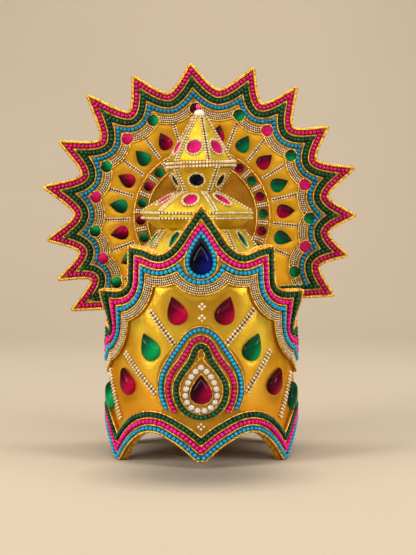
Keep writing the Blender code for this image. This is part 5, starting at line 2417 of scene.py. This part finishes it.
    def wedge_beads(self, trim: Trim) -> None:
        """Green beads that fill the tips between two rows.

        Args:
            trim: The trim that gains the rows.
        """
        outer = self.border_line(0.0082)
        inner = self.border_line(0.0120)
        for angle, _ in DiscEdge.TIPS:
            way = spot_on_ray(angle, 1.0)[0]
            across = (way[1], -way[0])
            far, near = (float((line @ way)[np.abs(line @ across) < 0.002].max()) for line in (outer, inner))
            if far - near <= self.wedge_room:
                continue
            count = int((far - near - 0.0022) / self.wedge_pitch)
            spots = np.array([way * (near + self.wedge_pitch * (k + 1)) for k in range(count)])
            if len(spots):
                trim.rows_of(Kind.GREEN, self.wedge_bead).add(DISC, spots, self.plate_lift + 0.0014)

    def dress_panels(self) -> None:
        """Lays the radial pearl bars between the drops."""
        trim = Trim("disc_panels")
        for angle in self.spoke_angles():
            line = radial(angle, *self.panel_bar)
            floor = DiscEdge.chord() + self.chord_border + 0.003
            if line[:, 1].min() >= floor:
                trim.bar(self.bar, DISC, line, self.bar_lift, 0.0001)
        trim.build()

    def dress_ring(self) -> None:
        """The ring about the hub, with its cords, pearl bars and round stones."""
        count = self.ring_stones
        lift = self.ring_lift
        middle = np.zeros(2)
        rings = [circle_at(middle, radius, 180)[:-1] for radius in (self.ring_outer, DISC.HUB_RADIUS)]
        # The ring and the hub take the dark cloth that paints the shade of the recess behind the spire
        mesh = stiff_layer("disc_ring_plate", DISC, rings, lift, Look.SHADED_HUB)
        finish_piece(mesh, "disc_ring_plate", Slot.CLOTH, ("disc_ring",))
        inner = circle_at(middle, DISC.HUB_RADIUS - 0.0004, 120)[:-1]
        mesh = stiff_layer("disc_hub", DISC, [inner], 0.0004, Look.SHADED_HUB, 0.0001, 0.0040)
        finish_piece(mesh, "disc_hub", Slot.CLOTH)
        trim = Trim("disc_ring")
        for radius in (DISC.HUB_RADIUS + 0.0006, self.ring_outer - 0.0004):
            trim.cord(self.ring_cord, DISC, circle_at(middle, radius, 200), lift)
        for k in range(count):
            line = radial(self.ring_turn + 360.0 * (k + 0.5) / count, *self.ring_bar)
            trim.bar(self.bar, DISC, line, lift + self.bar_lift, lift)
        trim.build()
        outline = round_outline(self.ring_stone_radius, 24)
        place = (DISC.HUB_RADIUS + self.ring_outer) / 2
        groups: dict[Slot, list[Mesh]] = {Slot.RUBY: [], Slot.EMERALD: []}
        for k in range(count):
            slot, finish = ((Slot.RUBY, Look.DARK_RUBY), (Slot.EMERALD, Look.DARK_EMERALD))[k % 2]
            spot = disc_spot(self.ring_turn + 360.0 * k / count, place, lift)
            groups[slot].append(Cabochon.mesh("ring_stone", outline, self.ring_stone_rise, spot, finish))
        for slot, meshes in groups.items():
            name = f"disc_ring_{slot.value}_stones"
            finish_piece(join_meshes(name, meshes), name, slot)

    def stones(self) -> None:
        """The round stones in the cusps and the drops."""
        outline = round_outline(self.cusp_radius, 32)
        for k, angle in enumerate(DiscEdge.cusps()):
            node = f"disc_round_{k + 1:02d}"
            red = abs(k - len(DiscEdge.CUSP_ANGLES) + 1) % 2 == 0
            finish = Look.EMERALD
            if red:
                finish = Look.DARK_RUBY if k == len(DiscEdge.CUSP_ANGLES) - 1 else Look.ROSE
            spot = disc_spot(angle, self.cusp_place, self.plate_lift + SEAT_GAP)
            mesh = Cabochon.mesh(node, outline, self.cusp_rise, spot, finish)
            finish_piece(mesh, f"dressed_{node}", Slot.RUBY if red else Slot.EMERALD, (node,))
        outline = drop_outline(self.drop_width, self.drop_length, 40)
        for k, angle in self.drops():
            node = f"disc_drop_{k + self.drop_half_count + 1:02d}"
            green = k % 2 == 0
            spot = disc_spot(angle, self.drop_place, SEAT_GAP)
            finish = Look.DARK_EMERALD if green else Look.DARK_RUBY
            mesh = Cabochon.mesh(node, outline, self.drop_rise, spot, finish)
            finish_piece(mesh, f"dressed_{node}", Slot.EMERALD if green else Slot.RUBY, (node,))


def radial(angle_deg: float, inner: float, outer: float) -> Array:
    """Points on a ray of the disc, 0.5 mm apart between two radii.

    Args:
        angle_deg: Angle of the ray, clockwise from the top.
        inner: First radius.
        outer: Last radius.

    Returns:
        The points.
    """
    a = math.radians(angle_deg)
    count = max(2, min(400, round((outer - inner) / 0.0005)))
    return np.linspace(inner, outer, count)[:, None] * np.array((math.sin(a), math.cos(a)))


def spot_on_ray(angle_deg: float, radius: float) -> Array:
    """A row of one point, on a ray of the disc."""
    a = math.radians(angle_deg)
    return radius * np.array(((math.sin(a), math.cos(a)),))


def circle_at(middle: Array, radius: float, sides: int) -> Array:
    """A closed circle of plane points."""
    a = np.linspace(0.0, 2 * math.pi, sides + 1)
    return np.asarray(middle) + radius * np.stack([np.sin(a), np.cos(a)], axis=1)


def round_outline(radius: float, sides: int) -> Array:
    """Outline of a round stone, clockwise from the top, closed."""
    return circle_at(np.zeros(2), radius, sides)


def corner_share(angle: Array, sides: int) -> Array:
    """Radius of a regular polygon at angles from a corner, as a share of its corner's radius.

    Args:
        angle: Angles from a corner.
        sides: Number of the polygon's sides.

    Returns:
        The shares.
    """
    step = 2 * math.pi / sides
    local = np.mod(angle, step) - step / 2
    return math.cos(step / 2) / np.cos(local)


@dataclass
class Tier:
    """A padded tier of the spire with flat sides, pearls along its ridges and a stone on each side."""

    node: str
    sides: int
    turn_deg: float
    # Columns: corner radius, height, share of the polygon's form
    rows: tuple[tuple[float, float, float], ...]
    finish: ClothFinish
    puff: float = 0.0008
    per_side: int = 8
    wall: float = 0.0
    # Columns: radius along the face, radius across it, share of the way up, first row
    stone: Optional[tuple[float, float, float, int]] = None
    stone_finish: Optional[StoneFinish] = None
    stone_slot: Slot = Slot.RUBY
    stone_rise: float = 0.0024
    pearl: float = 0.00130
    ridges: tuple[tuple[int, ...], ...] = ()
    rims: tuple[int, ...] = ()
    offset: float = 0.0
    row_gap: float = 0.0031

    def point(self, angle: Array, radius: Array, height: Array, form: Array, out: Array) -> Array:
        """Points of the tier.

        Args:
            angle: Angles, clockwise from the first corner.
            radius: Radius at a corner.
            height: Height.
            form: Share of the polygon's form; the rest is round.
            out: Lift off the side.

        Returns:
            The points.
        """
        azimuth = angle + math.radians(self.turn_deg) - math.pi / self.sides
        r = radius * (1.0 - form * (1.0 - corner_share(angle, self.sides))) + out
        return np.stack([self.offset + r * np.sin(azimuth), -r * np.cos(azimuth), height + 0.0 * r], axis=-1)

    def surface(self) -> Mesh:
        """The tier's skin.

        Returns:
            The mesh.
        """
        count = self.sides * self.per_side
        angles = 2 * math.pi * np.arange(count + 1) / count
        angles[-1] = 0.0
        across = np.mod(np.arange(count + 1), self.per_side) / self.per_side
        bulge = 1.0 - (2 * across - 1) ** 2
        columns = []
        for low, high in zip(self.rows, self.rows[1:]):
            steps = max(1, round(math.dist(low[:2], high[:2]) / 0.0040))
            for k in range(steps + (1 if high is self.rows[-1] else 0)):
                b = k / steps
                radius, height, form = (low[i] + (high[i] - low[i]) * b for i in range(3))
                out = self.puff * form * bulge * math.sin(math.pi * b)
                columns.append(self.point(angles, radius, height, form, out))
        if self.wall:
            for radius, height, form in reversed(self.rows):
                lower = max(0.0, radius - self.wall)
                drop = self.wall if radius == 0.0 or height > self.rows[-3][1] else 0.0
                columns.append(self.point(angles, lower, height - drop, form, 0.0 * angles))
            columns.append(columns[0])
        else:
            columns.insert(0, np.tile((self.offset, 0.0, self.rows[0][1]), (count + 1, 1)))
            columns.append(np.tile((self.offset, 0.0, self.rows[-1][1]), (count + 1, 1)))
        mesh = sheet_mesh(self.node, np.stack(columns, axis=1), Look.of(self.finish))
        mesh.set_sharp_from_angle(angle=math.radians(28.0))
        return mesh

    def outward(self, places: Array) -> Array:
        """Level unit vectors away from the tier's own axis."""
        away = (places - (self.offset, 0.0, 0.0)) * (1.0, 1.0, 0.0)
        return away / (np.linalg.norm(away, axis=1, keepdims=True) + 1e-9)

    def ridge_pearls(self, pearls: BeadRows) -> list[Mesh]:
        """Strings double rows of pearls down the ridges.

        Args:
            pearls: The tier's pearls, which gain these rows.

        Returns:
            The dark strips between the rows: dark thread and painted shade.
        """
        threads = []
        for chain in self.ridges:
            radii = np.array([self.rows[r][0] for r in chain])
            heights = np.array([self.rows[r][1] for r in chain])
            for k in range(self.sides):
                angles = np.full(len(chain), 2 * math.pi * k / self.sides)
                path = self.point(angles, radii, heights, 1.0, 0.0)
                threads.append(self.double_row(pearls, path))
        return threads

    def rim_pearls(self, pearls: BeadRows) -> list[Mesh]:
        """Strings rows of pearls along the level edges.

        Args:
            pearls: The tier's pearls, which gain these rows.

        Returns:
            The dark strips below the rows: dark thread and painted shade.
        """
        threads = []
        for row in self.rims:
            radius, height, _ = self.rows[row]
            angles = 2 * math.pi * np.arange(self.sides + 1) / self.sides
            corners = self.point(angles, radius, height, 1.0, 0.0)
            line = evenly(corners, 2.35 * self.pearl)[:-1]
            outward = self.outward(line)
            pearls.add_solid(line + outward * 0.5 * self.pearl, outward)
            threads.append(self.thread_and_shade_belt(corners))
        return threads

    def thread_and_shade_belt(self, corners: Array) -> Mesh:
        """The dark strip below a level row of pearls: dark thread and painted shade.

        Args:
            corners: Corners of the level edge.

        Returns:
            The strip.
        """
        around = corners + self.outward(corners) * 0.00025
        edges = [around + (0.0, 0.0, rise * self.pearl) for rise in (-0.9, 0.9)]
        return sheet_mesh("threads", np.stack(edges, axis=1), Look.of(Look.SHADE[Kind.PEARL]))

    def double_row(self, pearls: BeadRows, path: Array) -> Mesh:
        """Two rows of pearls astride a ridge, and the folded dark strip below them: dark thread and painted
        shade.

        Args:
            pearls: The tier's pearls, which gain these rows.
            path: The ridge's line.

        Returns:
            The strip.
        """
        line = evenly(path, 2.35 * self.pearl)
        way = np.gradient(line, axis=0)
        way /= np.linalg.norm(way, axis=1, keepdims=True)
        outward = self.outward(line)
        outward -= np.sum(outward * way, axis=1, keepdims=True) * way
        outward /= np.linalg.norm(outward, axis=1, keepdims=True)
        aside = np.cross(way, outward)
        half = self.row_gap / 2
        fall = half * math.tan(math.pi / self.sides)
        for side in (-half, half):
            pearls.add_solid(line + outward * (0.8 * self.pearl - fall) + aside * side, outward)
        edges = []
        for w in (1, 0, -1):
            edges.append(line + outward * (0.00025 - 1.2 * fall * abs(w)) + aside * 1.2 * half * w)
        return sheet_mesh("threads", np.stack(edges, axis=1), Look.of(Look.SHADE[Kind.PEARL]))

    def face_stones(self) -> list[tuple[Array, Array, Array, Array]]:
        """Middle, right, up and normal of the stone's spot on each face.

        Returns:
            The four of each face.
        """
        _, _, lift, row = self.stone
        low, high = self.rows[row], self.rows[row + 1]
        flat = math.cos(math.pi / self.sides)
        spots = []
        for k in range(self.sides):
            azimuth = math.radians(self.turn_deg) + 2 * math.pi * k / self.sides
            outward = np.array((math.sin(azimuth), -math.cos(azimuth), 0.0))
            right = np.array((math.cos(azimuth), math.sin(azimuth), 0.0))
            bottom = outward * low[0] * flat + (self.offset, 0.0, low[1])
            top = outward * high[0] * flat + (self.offset, 0.0, high[1])
            up = (top - bottom) / np.linalg.norm(top - bottom)
            normal = np.cross(right, up)
            middle = bottom + (top - bottom) * lift
            spots.append((middle + normal * self.puff * 0.8, right, up, normal))
        return spots

    def build(self) -> None:
        """Builds the tier, its pearls and its stones."""
        finish_piece(self.surface(), f"dressed_{self.node}", Slot.CLOTH, (self.node,))
        pearls = BeadRows(f"{self.node}_pearls", Look.CREAM, self.pearl, 8, 5)
        # The dark strips of thread and painted shade under the pearls
        threads = self.ridge_pearls(pearls) + self.rim_pearls(pearls)
        finish_piece(join_meshes(f"{self.node}_threads", threads), f"{self.node}_threads", Slot.CLOTH)
        if self.stone:
            along, across, _, _ = self.stone
            meshes = []
            outline = circle_at(np.zeros(2), 1.0, 28) * (across, along)
            ring = circle_at(np.zeros(2), 1.0, 60) * (across + 0.9 * self.pearl, along + 0.9 * self.pearl)
            for middle, right, up, normal in self.face_stones():

                def spot(a: Array, b: Array, c: Array) -> Array:
                    """A place right, up and out of the face's middle."""
                    return middle + a[:, None] * right + b[:, None] * up + c[:, None] * normal

                meshes.append(Cabochon.mesh("stone", outline, self.stone_rise, spot, self.stone_finish))
                places = evenly(ring, 2.1 * self.pearl)[:-1]
                solid = spot(places[:, 0], places[:, 1], np.full(len(places), 0.5 * self.pearl))
                pearls.add_solid(solid, np.tile(normal, (len(solid), 1)))
            finish_piece(join_meshes(f"{self.node}_stones", meshes), f"{self.node}_stones", self.stone_slot)
        pearls.build(Slot.PEARL)
        LOG.info("%s: dressed", self.node)


@dataclass
class Spire:
    """Cap, three tiers, pearl ring and finial."""

    cap_base: float = 0.0700
    cap_rise: float = 0.1520
    seat_radius: float = 0.0834
    ring_offset: float = -0.0010
    ring_slant: float = 0.0012
    ring_count: int = 66
    ring_pearl: float = 0.00150
    ring_radius: float = 0.0341
    ring_heights: tuple[float, float] = (0.2828, 0.2863)

    def cap(self) -> Tier:
        """The domed cap with its eight lobes.

        Returns:
            The cap.
        """
        profile = (
            (1.000, 0.000, 0.0), (1.000, 0.330, 0.0), (0.975, 0.500, 0.0), (0.880, 0.680, 0.5),
            (0.700, 0.855, 1.0), (0.515, 0.985, 1.0), (0.495, 1.000, 1.0), (0.000, 1.000, 0.0),
        )
        rows = tuple((r * self.seat_radius, self.cap_base + h * self.cap_rise, f) for r, h, f in profile)
        return Tier(
            "cap", 8, 12.0, rows, Look.GLITTER, puff=0.0010, wall=0.0028, stone=(0.0092, 0.0042, 0.55, 4),
            stone_finish=Look.EMERALD, stone_slot=Slot.EMERALD, pearl=0.00120, ridges=((3, 4, 5),),
        )

    def tiers(self) -> list[Tier]:
        """The tiers above the cap.

        Returns:
            The tiers, from below.
        """
        rim = (
            (0.0410, 0.2223, 1.0), (0.0548, 0.23224, 1.0), (0.0548, 0.23744, 1.0),
            (0.053035, 0.24005, 1.0), (0.041386, 0.24715, 1.0), (0.025854, 0.255493, 1.0),
            (0.0195, 0.2578, 1.0),
        )
        waist = ((0.0195, 0.2581, 1.0), (0.0352, 0.2816, 1.0))
        cone = ((0.0322, 0.2886, 1.0), (0.0070, 0.3306, 1.0))
        return [
            Tier(
                "rim_tier", 6, -10.0, rim, Look.GLITTER, puff=0.0006, stone=(0.0095, 0.0066, 0.28, 4),
                stone_finish=Look.ROSE, stone_rise=0.0026, pearl=0.00138, ridges=((3, 4, 5, 6),),
                rims=(1, 2), offset=-0.0048,
            ),
            Tier(
                "waist_tier", 5, -4.0, waist, Look.GLITTER, puff=0.0004, stone=(0.0063, 0.0068, 0.50, 0),
                stone_finish=Look.INK, stone_slot=Slot.SAPPHIRE, stone_rise=0.0026, ridges=((0, 1),),
                offset=-0.0030,
            ),
            Tier(
                "cone", 6, -14.0, cone, Look.GLITTER, puff=0.0006, stone=(0.0072, 0.0072, 0.30, 0),
                stone_finish=Look.ROSE, stone_rise=0.0028, ridges=((0, 1),), offset=-0.0016,
            ),
        ]

    def ring(self) -> None:
        """Two rows of larger pearls on a gold core between the waist tier and the cone."""
        core = Tier(
            "pearl_ring", 40, 0.0,
            ((0.0330, 0.2819, 0.0), (0.0338, 0.2835, 0.0), (0.0338, 0.2867, 0.0), (0.0330, 0.2883, 0.0)),
            Look.BACKING, puff=0.0, per_side=1, offset=self.ring_offset,
        )
        finish_piece(core.surface(), "dressed_pearl_ring", Slot.PEARL, ("pearl_ring",))
        pearls = BeadRows("pearl_ring_pearls", Look.CREAM, self.ring_pearl, 9, 6)
        for height in self.ring_heights:
            angles = np.arange(self.ring_count) * 2 * math.pi / self.ring_count
            outward = np.stack([np.sin(angles), -np.cos(angles), 0.0 * angles], axis=1)
            places = outward * self.ring_radius + (self.ring_offset, 0.0, height)
            places[:, 2] += outward[:, 0] * self.ring_slant
            pearls.add_solid(places, outward)
        pearls.build(Slot.PEARL)

    def finial(self) -> None:
        """The white pearl and the pink bead at the top."""
        for node, radius, half, middle, finish, slot in (
            ("finial_pearl", 0.0053, 0.0040, (-0.0022, 0.0, 0.3349), Look.FINIAL, Slot.PEARL),
            ("finial_bead", 0.0024, 0.0024, (-0.0032, 0.0, 0.3416), Look.PINK, Slot.PINK),
        ):
            mesh = ball_mesh(node, radius, half, middle, Look.of(finish))
            finish_piece(mesh, f"dressed_{node}", slot, (node,))

    def build(self) -> None:
        """Builds the cap and the spire."""
        self.cap().build()
        for tier in self.tiers():
            tier.build()
        self.ring()
        self.finial()


def ball_mesh(name: str, radius: float, half: float, middle: Place, material: Material) -> Mesh:
    """A bead, dimpled at its upright ends where its bore would open; the bore itself is not made.

    Args:
        name: Name of the mesh.
        radius: Radius across.
        half: Half its height.
        middle: Place of its middle.
        material: Its material.

    Returns:
        The mesh.
    """
    sides = 24
    angles = 2 * math.pi * np.arange(sides + 1) / sides
    angles[-1] = 0.0
    columns = []
    for k in range(15):
        a = math.pi * k / 14
        r = radius * math.sin(a)
        z = -half * math.cos(a) * (0.82 if k in (0, 14) else 1.0)
        places = np.stack([r * np.sin(angles), -r * np.cos(angles), z + 0.0 * angles], axis=1)
        columns.append(places + middle)
    return sheet_mesh(name, np.stack(columns, axis=1), material)


class Studio:
    """Seamless pale paper, soft lights and a soft surrounding."""

    PAPER: Colour = (0.550, 0.470, 0.367)
    PAPER_DARK_SHARE = 0.96
    PAPER_ROUGHNESS = 0.85
    # Half width, how far back the floor lies flat, radius of its rise, height of its top edge
    PAPER_SIZE = (3.2, 1.1, 0.9, 3.4)
    # Painted shadow: a soft dark patch on the floor before the crown; place of its middle, half width and
    # half depth
    PAINTED_SHADOW = (-0.122, 0.118, 0.085)
    # Columns: place between the patch's middle (0) and its rim (1), share of colour left
    PAINTED_SHADOW_SHARES = ((0.0, 0.46), (0.35, 0.55), (0.70, 0.82), (1.0, 1.0))
    WARM: Colour = (1.0, 0.95, 0.88)
    # Columns: name, place, target, size, power
    LIGHTS = (
        ("left_softbox", (-1.42, -0.88, 0.85), (0.0, 0.0, 0.18), (0.50, 0.9), 22.5),
        ("right_softbox", (1.42, -0.92, 0.85), (0.0, 0.0, 0.18), (0.50, 0.9), 18.0),
        ("top_softbox", (0.0, -0.35, 1.8), (0.0, 0.0, 0.0), (2.6, 1.2), 15.0),
        ("front_fill", (0.0, -2.3, 1.3), (0.0, 0.0, 0.25), (2.4, 1.5), 24.0),
        ("backdrop_glow", (0.0, 0.62, 1.45), (0.0, 1.25, 0.0), (1.2, 0.6), 13.0),
    )
    SURROUND = (0.80, 0.72, 0.62, 1.0)
    SURROUND_STRENGTH = 0.17

    def painted_front_shadow(self, tree: Tree) -> Socket:
        """The share of colour left in the painted shadow, a soft dark patch on the floor before the crown.

        Args:
            tree: The tree that gets the nodes.

        Returns:
            The share's socket.
        """
        middle, wide, deep = self.PAINTED_SHADOW
        place = add_node(tree, "ShaderNodeTexCoord").outputs["Object"]
        shrunk = {0: place, 1: (1.0 / wide, 1.0 / deep, 0.0), 2: (0.0, -middle / deep, 0.0)}
        flat = add_node(tree, "ShaderNodeVectorMath", shrunk, operation="MULTIPLY_ADD").outputs["Vector"]
        away = add_node(tree, "ShaderNodeVectorMath", {0: flat}, operation="LENGTH").outputs["Value"]
        return colour_ramp(tree, away, [(reach, (share,) * 3) for reach, share in self.PAINTED_SHADOW_SHARES])

    def paper(self) -> None:
        """The floor that rises into a backdrop in one curve."""
        width, reach, radius, height = self.PAPER_SIZE
        profile = [(-2.6, 0.0), (-1.0, 0.0), (0.0, 0.0), (reach, 0.0)]
        for k in range(1, 17):
            a = 0.5 * math.pi * k / 16
            profile.append((reach + radius * math.sin(a), radius * (1 - math.cos(a))))
        profile.append((reach + radius, height))
        columns = [np.array([(x, y, z) for y, z in profile]) for x in np.linspace(-width, width, 9)]
        material, tree, shader = new_material("studio_paper")
        dark = tuple(self.PAPER_DARK_SHARE * c for c in self.PAPER)
        mottled = colour_ramp(tree, noise(tree, Scale=1.6), [(0.35, dark), (0.65, self.PAPER)])
        # The floor's colour is darkened by the painted shadow before the crown
        colour = multiplied(tree, mottled, self.painted_front_shadow(tree))
        fill_inputs(tree, shader, {"Base Color": colour, "Roughness": self.PAPER_ROUGHNESS})
        mesh = sheet_mesh("studio_paper", np.stack(columns, axis=0), material)
        paper = bpy.data.objects.new("studio_paper", mesh)
        bpy.context.scene.collection.objects.link(paper)

    def softbox(
        self, name: str, place: Place, target: Place, size: tuple[float, float], power: float
    ) -> None:
        """An area light at a place, aimed at a target.

        Args:
            name: Name of the light.
            place: Where it stands.
            target: What it faces.
            size: Its width and height.
            power: Its power in watts.
        """
        data = bpy.data.lights.new(name, "AREA")
        data.shape = "RECTANGLE"
        data.size, data.size_y = size
        data.energy = power
        data.color = self.WARM
        light = bpy.data.objects.new(name, data)
        light.location = place
        way = Vector(target) - Vector(place)
        light.rotation_euler = way.to_track_quat("-Z", "Y").to_euler()
        bpy.context.scene.collection.objects.link(light)

    def build(self) -> None:
        """Sets up paper, lights and surroundings."""
        self.paper()
        for light in self.LIGHTS:
            self.softbox(*light)
        world = bpy.data.worlds.new("soft_surround")
        world.use_nodes = True
        tree = world.node_tree
        surround = {"Color": self.SURROUND, "Strength": self.SURROUND_STRENGTH}
        fill_inputs(tree, tree.nodes["Background"], surround)
        bpy.context.scene.world = world
        bpy.context.scene.view_settings.view_transform = "Standard"


class Post:
    """The steel bar behind: its CAD mesh with a painted metal finish."""

    DARK: Colour = (0.30, 0.20, 0.07)
    LIGHT: Colour = (0.52, 0.37, 0.14)

    def build(self) -> None:
        """Gives the post its finish."""
        material, tree, shader = new_material("post_paint")
        grain = noise(tree, Scale=160.0)
        bump = add_node(tree, "ShaderNodeBump", {"Strength": 0.15, "Height": grain})
        inputs = {
            "Base Color": colour_ramp(tree, grain, [(0.3, self.DARK), (0.7, self.LIGHT)]),
            "Normal": bump.outputs["Normal"],
            "Metallic": 0.85,
            "Roughness": 0.42,
        }
        fill_inputs(tree, shader, inputs)
        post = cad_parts["post"]
        post.data.materials.clear()
        post.data.materials.append(material)


def main() -> None:
    """Builds the dressed crown and its scene."""
    logging.basicConfig(level=logging.INFO, format="%(message)s")
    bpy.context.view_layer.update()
    Camera().build()
    Studio().build()
    Band().build()
    Spire().build()
    Disc().build()
    Post().build()


if __name__ == "__main__":
    main()
